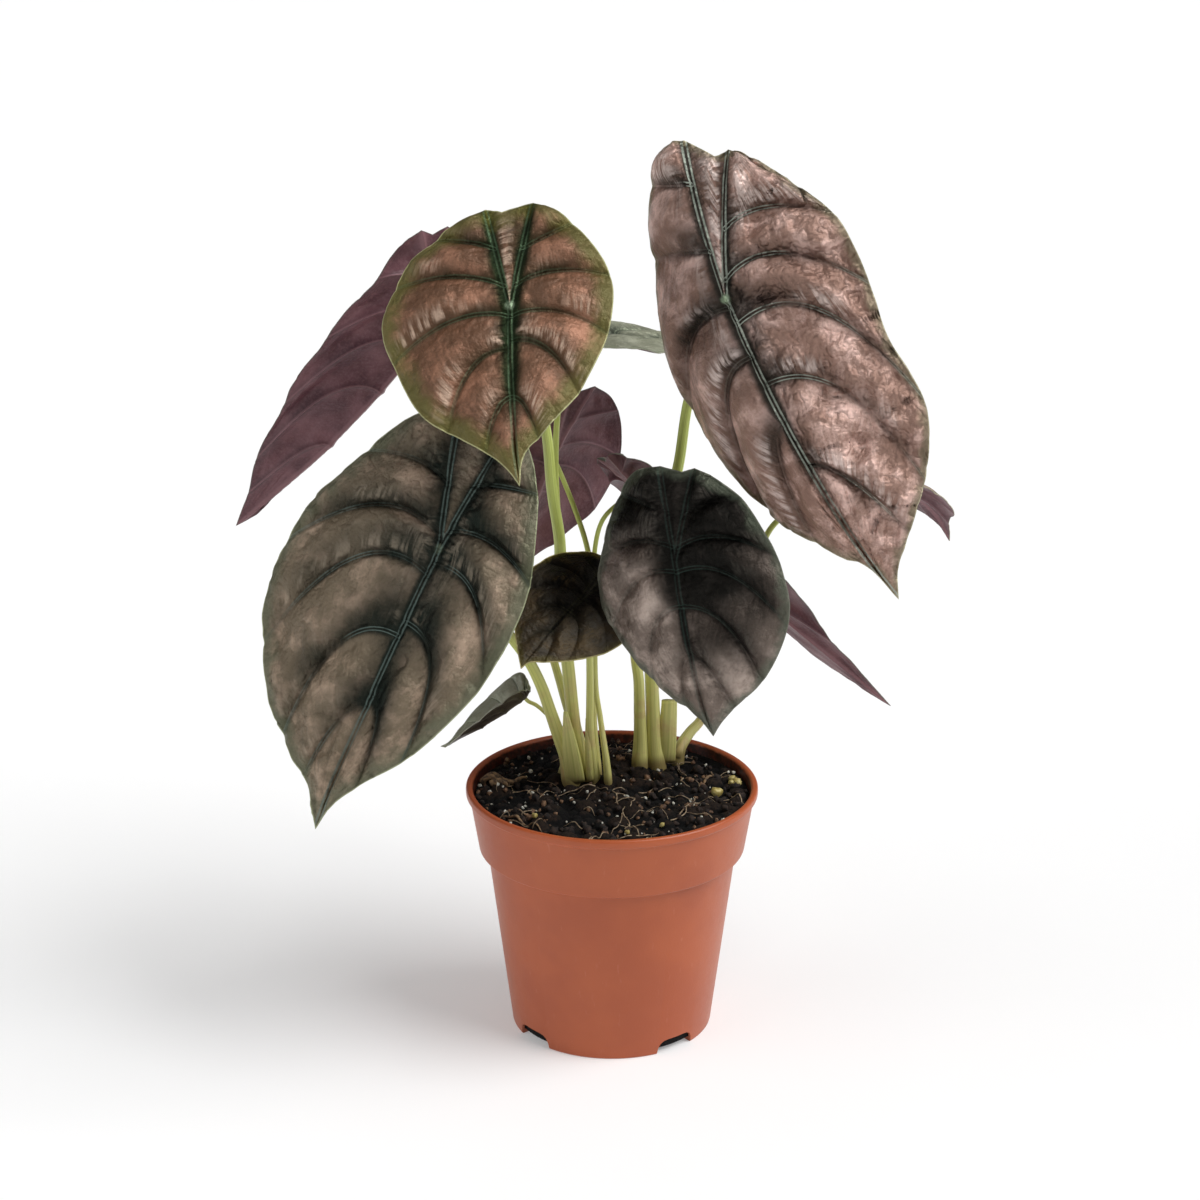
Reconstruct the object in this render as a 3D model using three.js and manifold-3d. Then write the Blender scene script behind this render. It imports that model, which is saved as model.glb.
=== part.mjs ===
// A potted alocasia: a plastic nursery pot, its soil, eleven leaf blades and their eleven stalks.
// Millimetres, +Z up. The pot's axis is the Z axis, its base stands on z = 0 and -Y is the front.
import * as THREE from "three";
import { mergeVertices } from "three/addons/utils/BufferGeometryUtils.js";
import Module from "manifold-3d";

const wasm = await Module();
wasm.setup();

// Pot
const POT_HEIGHT = 105;
const RIM_RADIUS = 60;
const RIM_DEPTH = 4;
const RIM_ROUND = 0.8;
const COLLAR_TOP_RADIUS = 58.5;
const COLLAR_FOOT_RADIUS = 54.7;
const COLLAR_FOOT_Z = 77;
const COLLAR_STEP = 1;
const WALL_TOP_RADIUS = 51.3;
const BASE_RADIUS = 41.5;
const POT_WALL = 1.3;
const POT_FLOOR = 1.8;
const POT_SECTORS = 48;
const NOTCH_COUNT = 4;
const NOTCH_TURN = -6;
const NOTCH_HALF_WIDTH = 9;
const NOTCH_HEIGHT = 6;
const NOTCH_INNER_RADIUS = 35;
const NOTCH_OUTER_RADIUS = 50;
// Upper right half of a notch's arch, as shares of its half width and of its height.
const NOTCH_ARCH = [
  [1, 0],
  [0.9, 0.6],
  [0.5, 1],
];

// Soil
const SOIL_EDGE_Z = 100.5;
const SOIL_MOUND = 1.5;
const SOIL_LUMP = 0.9;
const SOIL_LUMP_WAVES = [
  [0.43, 0.21],
  [-0.11, 0.37],
];
const SOIL_RINGS = 7;
const FIT_GAP = 0.3;

// Stalks
const STALK_FOOT_Z = 84;
const STALK_SIDES = 8;
const STALK_STEPS_PER_POINT = 2;
const STALK_MIDDLE = 0.35;
const STALK_CLEAR_OF_SOIL = 1;
const STALK_NECK = 2.5;
const HOLE_FLOOR_Z = STALK_FOOT_Z - 0.5;
const HOLE_DEPTH = 40;

// Blades
const BLADE_THICKNESS = 0.8;
const BLADE_COLUMNS = 5;
const NOTCH_COLUMNS = 2;
const QUILT_IN_PANEL = 1;
const QUILT_AT_MARGIN = 0.4;
const QUILT_SKEW = 1.4;

const TAU = 2 * Math.PI;
const radians = THREE.MathUtils.degToRad;

// Side veins of a half blade, by number. Vein 0 ends the lobe, the last one is the tip, and the
// stalk joins at vein number JUNCTION. Start: -1 lobe end, 0 junction, 1 tip, along the basal vein
// and the midrib. End: share of the margin from the lobe end to the tip. Angle: from the midrib.
// A leaf with starts or ends of its own gives them for its left and its right half.
const JUNCTION = 2.7;
const VEIN_NUMBERS = [0, 1, 2, JUNCTION, 3, 4, 5, 6];
const VEIN_STARTS = [-1, -0.52, -0.15, 0, 0.06, 0.25, 0.52, 1];
const VEIN_ENDS = [0, 0.16, 0.36, 0.5, 0.57, 0.76, 0.88, 1];
const VEIN_ENDS_SHORT_LOBE = [0, 0.06, 0.15, 0.24, 0.3, 0.52, 0.76, 1];
const VEIN_ANGLES = [105, 115, 118, 112, 108, 95, 85, 70];
const VEIN_BOWS = [0.35, 0.45, 0.5, 0.5, 0.5, 0.45, 0.26, 0.02];

// Half outline of a plain blade: share of the half width, share of the lobe (< 0) or length (> 0).
const PLAIN_HALF = [
  [0.5, -0.86],
  [0.84, -0.46],
  [1, 0.06],
  [0.92, 0.32],
  [0.68, 0.56],
  [0.36, 0.77],
  [0.12, 0.9],
];
const PLAIN_BASAL = 0.16;
const PLAIN_NOTCH = 0.9;

// Each blade lies in its own frame at the junction: y to the tip, x to its left half, normal up.
// heading, droop and roll (degrees) turn that frame; fold and curl bend each half across, arch and
// lobeArch bend the blade along its midrib. Outline points are in millimetres, the left half first.
const LEAVES = {
  upper_left: {
    at: [-39, -30, 313],
    turn: { heading: -90, droop: 46, roll: 10 },
    length: 74,
    lobe: 46.5,
    halves: [46.5, 42.5],
    fold: [-2, -2],
    curl: [10, 10],
    arch: 12,
    lobeArch: 6,
    tipShift: -3,
    quilt: 2.8,
    strip: 1,
    basal: [[11, -45.5], [8, -46.5]],
    notch: [4, -42.5],
    starts: [[-1, -0.58, -0.2, 0, 0.06, 0.25, 0.52, 1], [-1, -0.55, -0.2, 0, 0.06, 0.2, 0.52, 1]],
    ends: [[0, 0.14, 0.3, 0.45, 0.52, 0.77, 0.88, 1], [0, 0.13, 0.33, 0.45, 0.51, 0.7, 0.86, 1]],
    outlines: [
      [[22.5, -39.5], [40.5, -25.5], [49.5, -7], [50.5, 8], [45.5, 21.5], [33.5, 43.5], [19.5, 53.5],
        [7, 62], [1, 68]],
      [[19.5, -39.5], [30.5, -26.5], [38.5, -10], [38.5, 8], [33.5, 24.5], [25.5, 39.5], [14, 52.5],
        [5, 63]],
    ],
  },
  upper_right: {
    at: [43, -20, 313],
    turn: { heading: -45, droop: 58, roll: 62 },
    length: 135,
    lobe: 65.5,
    halves: [43.5, 55.5],
    fold: [-20, -6],
    curl: [28, 10],
    arch: 25,
    lobeArch: 28,
    tipShift: -10,
    quilt: 3.6,
    strip: -2.5,
    basal: [[-4, -69.5], [20, -57.5]],
    notch: [-14, -57.5],
    starts: [[-1, -0.7, -0.28, 0, 0.03, 0.18, 0.39, 1], [-1, -0.45, -0.12, 0, 0.08, 0.27, 0.53, 1]],
    ends: [[0, 0.1, 0.23, 0.46, 0.51, 0.73, 0.83, 1], [0, 0.24, 0.39, 0.53, 0.62, 0.77, 0.87, 1]],
    outlines: [
      [[8, -69.5], [18, -60.5], [25, -41.5], [36.5, -14], [43.5, 6], [45.5, 31.5], [36.5, 59.5],
        [24, 85], [8, 103], [-5, 116]],
      [[30, -46.5], [40.5, -32], [50.5, -14], [53, 4], [52.5, 22], [51, 39], [53, 55], [53, 70],
        [43, 92.5], [31.5, 106.5], [16, 123]],
    ],
  },
  lower_left: {
    at: [-67, -42, 220],
    turn: { heading: -150, droop: 60, roll: -32 },
    length: 121,
    lobe: 55,
    halves: [59, 45.5],
    fold: [2, -4],
    curl: [8, 10],
    arch: 10,
    lobeArch: 10,
    tipShift: 1,
    quilt: 3.4,
    strip: 1,
    basal: [[19.5, -53], [4, -55]],
    notch: [6, -51],
    starts: [[-1, -0.45, -0.07, 0, 0.09, 0.31, 0.56, 1], [-1, -0.52, -0.14, 0, 0.05, 0.26, 0.52, 1]],
    ends: [[0, 0.2, 0.43, 0.57, 0.63, 0.81, 0.9, 1], [0, 0.15, 0.33, 0.49, 0.55, 0.77, 0.88, 1]],
    outlines: [
      [[34.5, -42.5], [51, -13], [60, 8], [63, 30.5], [58, 57], [48, 73], [35.5, 88.5], [20.5, 99.5],
        [8, 110]],
      [[13, -51], [25.5, -36.5], [34.5, -18.5], [40.5, 1], [41.5, 21.5], [38.5, 43.5], [30.5, 66],
        [20.5, 83.5], [9, 98], [2, 110]],
    ],
  },
  lower_right: {
    at: [24, -34, 212],
    turn: { heading: -60, droop: 76, roll: 52 },
    length: 73,
    lobe: 38.5,
    halves: [40.5, 40.5],
    fold: [-2, -2],
    curl: [10, 10],
    arch: 18,
    lobeArch: 6,
    tipShift: -3,
    quilt: 2.4,
    strip: 1,
    basal: [[2, -37.5], [12, -35.5]],
    notch: [-7, -34.5],
    outlines: [
      [[12, -36.5], [20.5, -27.5], [29.5, -10], [34.5, 4], [33.5, 20.5], [28.5, 30.5], [20.5, 43.5],
        [10, 55], [1, 64]],
      [[19.5, -31.5], [29.5, -22.5], [38.5, -6], [42.5, 8], [43.5, 21.5], [39.5, 34.5], [28.5, 50.5],
        [16, 60], [8, 67]],
    ],
  },
  small_front: {
    at: [-11, -10, 190],
    turn: { heading: -135, droop: 27, roll: -30 },
    length: 42,
    lobe: 21,
    halves: [25, 25],
    fold: [-3, -2],
    curl: [8, 8],
    arch: 7,
    lobeArch: 9,
    tipShift: -2,
    quilt: 0.9,
    strip: 0.4,
  },
  back_left: {
    at: [-76, 45, 282],
    turn: { heading: 163, droop: 52, roll: 22 },
    length: 126,
    lobe: 47,
    halves: [36, 38],
    fold: [50, 28],
    curl: [8, 8],
    arch: -12,
    lobeArch: -25,
    tipShift: -3,
    quilt: 1.8,
    strip: 1,
    basal: [[-13, -49], [24, -45]],
    notch: [-18, -44],
    outlines: [
      [[2, -44], [20, -28], [34, -6], [38, 14], [36, 32], [28, 56], [15, 82.5], [4, 104.5]],
      [[30, -36], [35, -15], [38, 6], [37, 28], [35, 46], [29, 64.5], [23, 86.5], [13, 104.5]],
    ],
  },
  back_middle: {
    at: [-25, 66, 225],
    turn: { heading: 171, droop: 69, roll: 54 },
    length: 63,
    lobe: 35.5,
    halves: [34.5, 34.5],
    fold: [7, 8],
    curl: [8, 8],
    arch: -7,
    lobeArch: 9,
    tipShift: 0,
    quilt: 1.4,
    strip: 0.6,
  },
  back_low_right: {
    at: [11, 36, 220],
    turn: { heading: 0, droop: 44, roll: -31 },
    length: 142,
    lobe: 20.5,
    halves: [37, 39],
    fold: [9, 10],
    curl: [10, 10],
    arch: -3,
    lobeArch: 7,
    tipShift: 4,
    quilt: 1.6,
    strip: 0.5,
    ends: [VEIN_ENDS_SHORT_LOBE, VEIN_ENDS_SHORT_LOBE],
    outlines: [
      [[12, -18], [21, -9], [28, 11], [33, 36], [32, 59], [25, 78], [17, 92], [13, 106], [9, 123]],
      [[16, -17], [26, -8], [31, 14], [31, 42], [26, 70], [17.5, 97], [14, 113], [4, 124]],
    ],
  },
  back_right: {
    at: [100, 60, 220],
    turn: { heading: 25, droop: 10, roll: -10 },
    length: 65.5,
    lobe: 30.5,
    halves: [30.5, 30.5],
    fold: [3, 0],
    curl: [10, 10],
    arch: 51,
    lobeArch: 8,
    tipShift: -8,
    quilt: 1.2,
    strip: 0.5,
    outlines: [
      [[15.5, -26.5], [25.5, -14.5], [30.5, 4], [27.5, 21.5], [20.5, 35.5], [13.5, 47], [4, 52]],
      [[15.5, -26.5], [25.5, -14.5], [30.5, 2], [28.5, 22.5], [22.5, 37], [15.5, 48], [10, 53]],
    ],
  },
  back_level: {
    at: [-13, 45, 284],
    turn: { heading: 19, droop: 11, roll: 0 },
    length: 68,
    lobe: 32.5,
    halves: [30.5, 30.5],
    fold: [5, 5],
    curl: [8, 8],
    arch: 5,
    lobeArch: 8,
    tipShift: 0,
    quilt: 1.4,
    strip: 0.6,
  },
  small_low: {
    at: [-36, 5, 141],
    turn: { heading: 177, droop: 41, roll: 0 },
    length: 42,
    lobe: 4,
    halves: [17, 16],
    fold: [25, 29],
    curl: [8, 8],
    arch: -12,
    lobeArch: 8,
    tipShift: 2,
    quilt: 0.8,
    strip: 0.3,
    ends: [VEIN_ENDS_SHORT_LOBE, VEIN_ENDS_SHORT_LOBE],
  },
};
const ROWS_PER_VEIN = { upper_left: 3, upper_right: 3, lower_left: 3, lower_right: 3, back_left: 3 };
const PLAIN_ROWS_PER_VEIN = 2;

// Stalks: radii at the foot, at STALK_MIDDLE of the way and at the blade, the foot's place in the
// soil, and the points that the stalk passes on its way up to the blade's junction. A sheath wraps
// the foot; tip is what is left of its width and thickness at its free top.
const STALKS = {
  upper_left: {
    radii: [2.9, 2.6, 1.7],
    foot: [-12, 11],
    points: [[-14.5, 10.5, 117.5], [-16, 10, 131], [-17, 9.5, 142], [-18.5, 10, 157.5], [-22, 15, 180],
      [-21, 13, 202], [-24, 2, 230], [-26, -10, 258], [-31, -21, 286]],
  },
  upper_right: {
    radii: [3.4, 2.6, 1.7],
    foot: [18.8, 27.5],
    points: [[18, 27.5, 111], [17, 25.5, 129.5], [16, 16, 162], [18, 8, 199], [21, 5, 221],
      [26, 5, 238], [30, 5, 266], [37, -4, 292]],
    sheath: { from: [23, 27.5, 103.5], to: [24, 27, 131], width: 3.8, thickness: 1.8, tip: 0.85 },
  },
  lower_left: {
    radii: [3.4, 2.5, 1.5],
    foot: [-17, 6.5],
    points: [[-18.5, 5.5, 114], [-21.5, 4, 123.5], [-25, 0, 136], [-28.5, -5, 149],
      [-33.5, -11, 162.5], [-39, -16, 172.5], [-46.5, -22, 186], [-55.5, -31, 203.5]],
    sheath: { from: [-15, 4, 103.8], to: [-19, -1.5, 137], width: 4, thickness: 1.2, tip: 0.2 },
  },
  lower_right: {
    radii: [3, 2.3, 1.4],
    foot: [11.8, 25.5],
    points: [[12, 25.5, 113], [11.5, 22.5, 129], [11, 17, 144], [9.5, 11, 159], [12.5, 1, 179],
      [17.5, -14, 197]],
  },
  small_front: {
    radii: [2, 1.7, 1.2],
    foot: [-7, 7],
    points: [[-8, 5, 114.5], [-9, 3, 127], [-9, 1, 141], [-9, -2, 155], [-9.5, -5, 173.5]],
    sheath: { from: [-9, 5, 103.8], to: [-10.5, 2.5, 132.5], width: 1.6, thickness: 1, tip: 0.2 },
  },
  back_left: {
    radii: [2.1, 1.6, 1.2],
    foot: [-16.5, 17],
    points: [[-16.5, 18, 121.5], [-20.5, 19, 138.5], [-26.5, 21, 160], [-33.5, 24, 185],
      [-43, 27, 218.5], [-55.5, 31, 255], [-66.5, 37, 272.5]],
  },
  back_middle: {
    radii: [1.7, 1.3, 1],
    foot: [-6, 14],
    points: [[-7.5, 15, 127], [-7.5, 20, 151.5], [-7.5, 30, 174], [-10, 42, 192], [-16, 56, 207]],
  },
  back_low_right: {
    radii: [1.5, 1.1, 0.9],
    foot: [-1.5, 4.5],
    points: [[-2.5, 5, 114.5], [-3.5, 6, 121.5], [-5, 8, 132], [-6.5, 10, 142], [-7, 11.5, 163.5],
      [-7, 13, 180], [-7, 18, 200], [-4, 25, 210], [2, 31, 215]],
  },
  back_right: {
    radii: [2.4, 1.5, 1.1],
    foot: [28, 34.5],
    points: [[29, 36.5, 106], [33, 42, 110.5], [38.5, 48, 115], [50.5, 62, 145], [61, 69, 174],
      [66, 70, 190], [71, 69, 197], [85, 65, 209]],
    sheath: { from: [27.5, 32.5, 103.2], to: [30, 36, 109.5], width: 1.8, thickness: 1, tip: 0.2 },
  },
  back_level: {
    radii: [1.9, 1.5, 1.1],
    foot: [-10, 19.5],
    points: [[-15, 23, 124], [-17.5, 25, 149.5], [-19.5, 28, 175], [-21.5, 30, 200], [-23, 32, 230],
      [-22, 34, 254], [-19, 39, 274]],
  },
  small_low: {
    radii: [1.3, 0.9, 0.8],
    foot: [-21.5, 12.5],
    points: [[-19, 13, 114.5], [-23, 11, 126.5], [-27, 9, 132], [-31, 7, 136.5]],
  },
};
const SHEATH_STEPS = 6;

function toSolid(geometry) {
  const bare = geometry.clone();
  bare.deleteAttribute("normal");
  bare.deleteAttribute("uv");
  const merged = mergeVertices(bare, 1e-4);
  return new wasm.Manifold(
    new wasm.Mesh({
      numProp: 3,
      vertProperties: new Float32Array(merged.attributes.position.array),
      triVerts: new Uint32Array(merged.index.array),
    }),
  );
}

function toGeometry(solid) {
  const mesh = solid.getMesh();
  const positions = new Float32Array(mesh.numVert * 3);
  for (let i = 0; i < mesh.numVert; i += 1) {
    positions.set(mesh.vertProperties.subarray(i * mesh.numProp, i * mesh.numProp + 3), i * 3);
  }
  return meshed(positions, Array.from(mesh.triVerts));
}

function meshed(positions, triangles) {
  const geometry = new THREE.BufferGeometry();
  geometry.setAttribute("position", new THREE.Float32BufferAttribute(positions, 3));
  geometry.setIndex(triangles);
  geometry.computeVertexNormals();
  return geometry;
}

// Value at t of the line chain through (knots, values).
function interpolate(t, knots, values) {
  let i = 1;
  while (i < knots.length - 1 && t > knots[i]) {
    i += 1;
  }
  const share = (t - knots[i - 1]) / (knots[i] - knots[i - 1]);
  return values[i - 1] + share * (values[i] - values[i - 1]);
}

// Length along and rise of a curve that starts at angle a0 and bends by k per millimetre.
function bend(a0, k, s) {
  if (Math.abs(k) < 1e-7) {
    return [s * Math.cos(a0), s * Math.sin(a0)];
  }
  return [(Math.sin(a0 + k * s) - Math.sin(a0)) / k, -(Math.cos(a0 + k * s) - Math.cos(a0)) / k];
}

function leafAxes({ heading, droop, roll }) {
  const h = radians(heading);
  const d = radians(droop);
  const r = radians(roll);
  const tip = new THREE.Vector3(Math.cos(d) * Math.cos(h), Math.cos(d) * Math.sin(h), -Math.sin(d));
  const upright = new THREE.Vector3(Math.sin(d) * Math.cos(h), Math.sin(d) * Math.sin(h), Math.cos(d));
  const across = new THREE.Vector3().crossVectors(tip, upright);
  const normal = upright.multiplyScalar(Math.cos(r)).addScaledVector(across, Math.sin(r));
  return { tip, normal, left: new THREE.Vector3().crossVectors(tip, normal) };
}

// Point of the bent blade at flat (x, y), dz above it, and the blade's normal there.
function bladePoint(leaf, axes, x, y, dz) {
  const side = x >= 0 ? 0 : 1;
  const sign = x >= 0 ? 1 : -1;
  const ahead = y >= 0 ? 1 : -1;
  const along = y >= 0 ? -radians(leaf.arch) / leaf.length : -radians(leaf.lobeArch) / leaf.lobe;
  const [run, rise] = bend(0, along, Math.abs(y));
  const lean = along * Math.abs(y) * ahead;
  const fold = radians(leaf.fold[side]);
  const curl = -radians(leaf.curl[side]) / leaf.halves[side];
  const [out, up] = bend(fold, curl, Math.abs(x));
  const slope = fold + curl * Math.abs(x);
  const nx = -Math.sin(slope) * sign;
  const nz = Math.cos(slope);
  const cx = out * sign + dz * nx;
  const cz = up + dz * nz;
  const point = new THREE.Vector3(...leaf.at)
    .addScaledVector(axes.left, cx)
    .addScaledVector(axes.tip, run * ahead - cz * Math.sin(lean))
    .addScaledVector(axes.normal, rise + cz * Math.cos(lean));
  const normal = new THREE.Vector3()
    .addScaledVector(axes.left, nx)
    .addScaledVector(axes.tip, -nz * Math.sin(lean))
    .addScaledVector(axes.normal, nz * Math.cos(lean));
  return { point, normal };
}

function basalEnd(leaf, side) {
  const sign = side === 0 ? 1 : -1;
  const [x, y] = leaf.basal ? leaf.basal[side] : [PLAIN_BASAL * leaf.halves[side], -leaf.lobe];
  return new THREE.Vector2(sign * x, y);
}

// The margin of a half blade from its lobe end to the tip.
function margin(leaf, side) {
  const sign = side === 0 ? 1 : -1;
  const plain = PLAIN_HALF.map(([a, b]) => [a * leaf.halves[side], b * (b < 0 ? leaf.lobe : leaf.length)]);
  const outline = leaf.outlines ? leaf.outlines[side] : plain;
  const end = basalEnd(leaf, side);
  const points = [new THREE.Vector3(end.x, end.y, 0)];
  outline.forEach(([x, y]) => points.push(new THREE.Vector3(sign * x, y, 0)));
  points.push(new THREE.Vector3(leaf.tipShift, leaf.length, 0));
  return new THREE.CatmullRomCurve3(points, false, "centripetal");
}

// Point of the basal vein (share < 0) or of the midrib (share > 0).
function axisPoint(leaf, side, share) {
  if (share >= 0) {
    return new THREE.Vector2(leaf.tipShift * share * share, leaf.length * share);
  }
  return basalEnd(leaf, side).multiplyScalar(-share);
}

function veinStart(leaf, side, row) {
  return interpolate(row, VEIN_NUMBERS, leaf.starts ? leaf.starts[side] : VEIN_STARTS);
}

// Points of a half blade: rows follow the side veins, columns run from the axis to the margin.
function halfGrid(leaf, side, rows, columns) {
  const curve = margin(leaf, side);
  const sign = side === 0 ? 1 : -1;
  const ends = leaf.ends ? leaf.ends[side] : VEIN_ENDS;
  return rows.map((row) => {
    const start = axisPoint(leaf, side, veinStart(leaf, side, row));
    const edge = curve.getPointAt(Math.min(1, interpolate(row, VEIN_NUMBERS, ends)));
    const end = new THREE.Vector2(edge.x, edge.y);
    const angle = radians(interpolate(row, VEIN_NUMBERS, VEIN_ANGLES));
    const reach = start.distanceTo(end) * interpolate(row, VEIN_NUMBERS, VEIN_BOWS);
    const middle = new THREE.Vector2(sign * Math.sin(angle), Math.cos(angle))
      .multiplyScalar(reach)
      .add(start);
    const line = new THREE.QuadraticBezierCurve(start, middle, end);
    return Array.from({ length: columns + 1 }, (_, j) => line.getPoint(j / columns));
  });
}

function rowNumbers(perVein) {
  const last = VEIN_NUMBERS[VEIN_NUMBERS.length - 1];
  const rows = [];
  for (let vein = 0; vein < last; vein += 1) {
    for (let k = 0; k < perVein; k += 1) {
      rows.push(vein + k / perVein);
    }
  }
  const nearest = rows.reduce((a, b) => (Math.abs(b - JUNCTION) < Math.abs(a - JUNCTION) ? b : a));
  rows[rows.indexOf(nearest)] = JUNCTION;
  return [...rows, last];
}

// Height of the quilting: nothing on a vein, most past the middle of a panel, less at the margin.
function quilting(leaf, row, share) {
  const panel = Math.sin(Math.PI * (row - Math.floor(row)) ** QUILT_SKEW);
  const across = QUILT_IN_PANEL * Math.sin(Math.PI * share) + QUILT_AT_MARGIN * share * share;
  return leaf.quilt * panel * across;
}

function bladeGeometry(name, leaf) {
  const axes = leafAxes(leaf.turn);
  const rows = rowNumbers(ROWS_PER_VEIN[name] ?? PLAIN_ROWS_PER_VEIN);
  const junctionRow = rows.indexOf(JUNCTION);
  const lastRow = rows.length - 1;
  const positions = [];
  const faces = [];
  const half = BLADE_THICKNESS / 2;

  // Adds a flat point as an upper and a lower vertex and returns its number.
  function addPoint(flat, dz) {
    const { point, normal } = bladePoint(leaf, axes, flat.x, flat.y, dz);
    for (const offset of [half, -half]) {
      positions.push(...point.clone().addScaledVector(normal, offset).toArray());
    }
    return positions.length / 6 - 1;
  }
  function addQuad(a, b, c, d) {
    for (const face of [[a, b, c], [a, c, d]]) {
      if (new Set(face).size === 3) {
        faces.push(face);
      }
    }
  }

  const numbers = [0, 1].map(() => rows.map(() => []));
  const tipNumber = addPoint(axisPoint(leaf, 0, 1), 0);
  for (const side of [0, 1]) {
    const grid = halfGrid(leaf, side, rows, BLADE_COLUMNS);
    const lobeNumber = addPoint(grid[0][0], 0);
    grid.forEach((line, k) => {
      line.forEach((flat, j) => {
        const shared = side === 1 && j === 0 && k >= junctionRow;
        if (k === lastRow) {
          numbers[side][k].push(tipNumber);
        } else if (k === 0) {
          numbers[side][k].push(lobeNumber);
        } else if (shared) {
          numbers[side][k].push(numbers[0][k][0]);
        } else {
          numbers[side][k].push(addPoint(flat, quilting(leaf, rows[k], j / BLADE_COLUMNS)));
        }
      });
    });
    for (let k = 0; k < lastRow; k += 1) {
      for (let j = 0; j < BLADE_COLUMNS; j += 1) {
        const [a, b] = [numbers[side][k][j], numbers[side][k][j + 1]];
        const [c, d] = [numbers[side][k + 1][j + 1], numbers[side][k + 1][j]];
        if (side === 0) {
          addQuad(a, b, c, d);
        } else {
          addQuad(d, c, b, a);
        }
      }
    }
  }

  // The strip between the two basal veins, out to the notch.
  const [nx, ny] = leaf.notch ?? [0, -leaf.lobe * PLAIN_NOTCH];
  const strip = rows.slice(0, junctionRow + 1).map((row, k) => {
    const share = -(veinStart(leaf, 0, row) + veinStart(leaf, 1, row)) / 2;
    const notch = new THREE.Vector2(nx, ny).multiplyScalar(share);
    const line = [numbers[0][k][0]];
    for (let j = 1; j < NOTCH_COLUMNS; j += 1) {
      line.push(k === junctionRow ? numbers[0][k][0] : addPoint(notch, leaf.strip * share));
    }
    return [...line, numbers[1][k][0]];
  });
  for (let k = 0; k < junctionRow; k += 1) {
    for (let j = 0; j < NOTCH_COLUMNS; j += 1) {
      addQuad(strip[k][j], strip[k + 1][j], strip[k + 1][j + 1], strip[k][j + 1]);
    }
  }

  // Both faces alike, and a rim along the edges that only one face uses.
  const triangles = [];
  const edges = new Map();
  for (const [a, b, c] of faces) {
    triangles.push(2 * a, 2 * b, 2 * c, 2 * c + 1, 2 * b + 1, 2 * a + 1);
    for (const [from, to] of [[a, b], [b, c], [c, a]]) {
      edges.set(from + " " + to, [from, to]);
    }
  }
  for (const [from, to] of edges.values()) {
    if (!edges.has(to + " " + from)) {
      triangles.push(2 * to, 2 * from, 2 * from + 1, 2 * to, 2 * from + 1, 2 * to + 1);
    }
  }
  return meshed(positions, triangles);
}

// A closed solid along a curve, with an oval section: width(t) across, thickness(t) front to back.
function loft(curve, steps, sides, width, thickness, widthDirection) {
  const frames = curve.computeFrenetFrames(steps, false);
  const positions = [];
  const triangles = [];
  for (let i = 0; i <= steps; i += 1) {
    const t = i / steps;
    const centre = curve.getPointAt(t);
    const across = frames.normals[i].clone();
    const tangent = frames.tangents[i];
    if (widthDirection) {
      across.copy(widthDirection).addScaledVector(tangent, -widthDirection.dot(tangent)).normalize();
    }
    const other = new THREE.Vector3().crossVectors(tangent, across);
    for (let k = 0; k < sides; k += 1) {
      const turn = (TAU * k) / sides;
      positions.push(
        ...centre
          .clone()
          .addScaledVector(across, width(t) * Math.cos(turn))
          .addScaledVector(other, thickness(t) * Math.sin(turn))
          .toArray(),
      );
    }
  }
  for (let i = 0; i < steps; i += 1) {
    for (let k = 0; k < sides; k += 1) {
      const a = i * sides + k;
      const b = i * sides + ((k + 1) % sides);
      triangles.push(a, b, b + sides, a, b + sides, a + sides);
    }
  }
  const top = steps * sides;
  for (let k = 1; k < sides - 1; k += 1) {
    triangles.push(0, k + 1, k);
    triangles.push(top, top + k, top + k + 1);
  }
  return meshed(positions, triangles);
}

function soilHeight(x, y) {
  const share = Math.min(1, (x * x + y * y) / (COLLAR_FOOT_RADIUS * COLLAR_FOOT_RADIUS));
  return SOIL_EDGE_Z + SOIL_MOUND * (1 - share);
}

function stalkGeometry(name, stalk) {
  const leaf = LEAVES[name];
  const { normal } = leafAxes(leaf.turn);
  const [x, y] = stalk.foot;
  const junction = new THREE.Vector3(...leaf.at);
  const roofAngle = radians(Math.max(0, -Math.min(...leaf.fold)));
  const topGap = BLADE_THICKNESS / 2 + FIT_GAP + stalk.radii[2] * Math.sin(roofAngle);
  const points = [
    new THREE.Vector3(x, y, STALK_FOOT_Z),
    new THREE.Vector3(x, y, (STALK_FOOT_Z + SOIL_EDGE_Z) / 2),
    new THREE.Vector3(x, y, soilHeight(x, y) + STALK_CLEAR_OF_SOIL),
    ...stalk.points.map((p) => new THREE.Vector3(...p)),
    junction.clone().addScaledVector(normal, -topGap - STALK_NECK),
    junction.clone().addScaledVector(normal, -topGap),
  ];
  const curve = new THREE.CatmullRomCurve3(points, false, "centripetal");
  const radius = (t) => interpolate(t, [0, STALK_MIDDLE, 1], stalk.radii);
  const steps = (points.length - 1) * STALK_STEPS_PER_POINT;
  const stem = loft(curve, steps, STALK_SIDES, radius, radius);
  if (!stalk.sheath) {
    return stem;
  }
  const { from, to, width, thickness, tip } = stalk.sheath;
  const line = new THREE.LineCurve3(new THREE.Vector3(...from), new THREE.Vector3(...to));
  const narrowing = (t) => 1 - (1 - tip) * t * t;
  const sheath = loft(
    line,
    SHEATH_STEPS,
    STALK_SIDES,
    (t) => width * narrowing(t),
    (t) => thickness * narrowing(t),
    new THREE.Vector3(1, 0, 0),
  );
  return toGeometry(toSolid(stem).add(toSolid(sheath)));
}

// Outer radius of the pot's wall below the collar.
function wallRadius(z) {
  return BASE_RADIUS + ((WALL_TOP_RADIUS - BASE_RADIUS) * z) / COLLAR_FOOT_Z;
}

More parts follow.
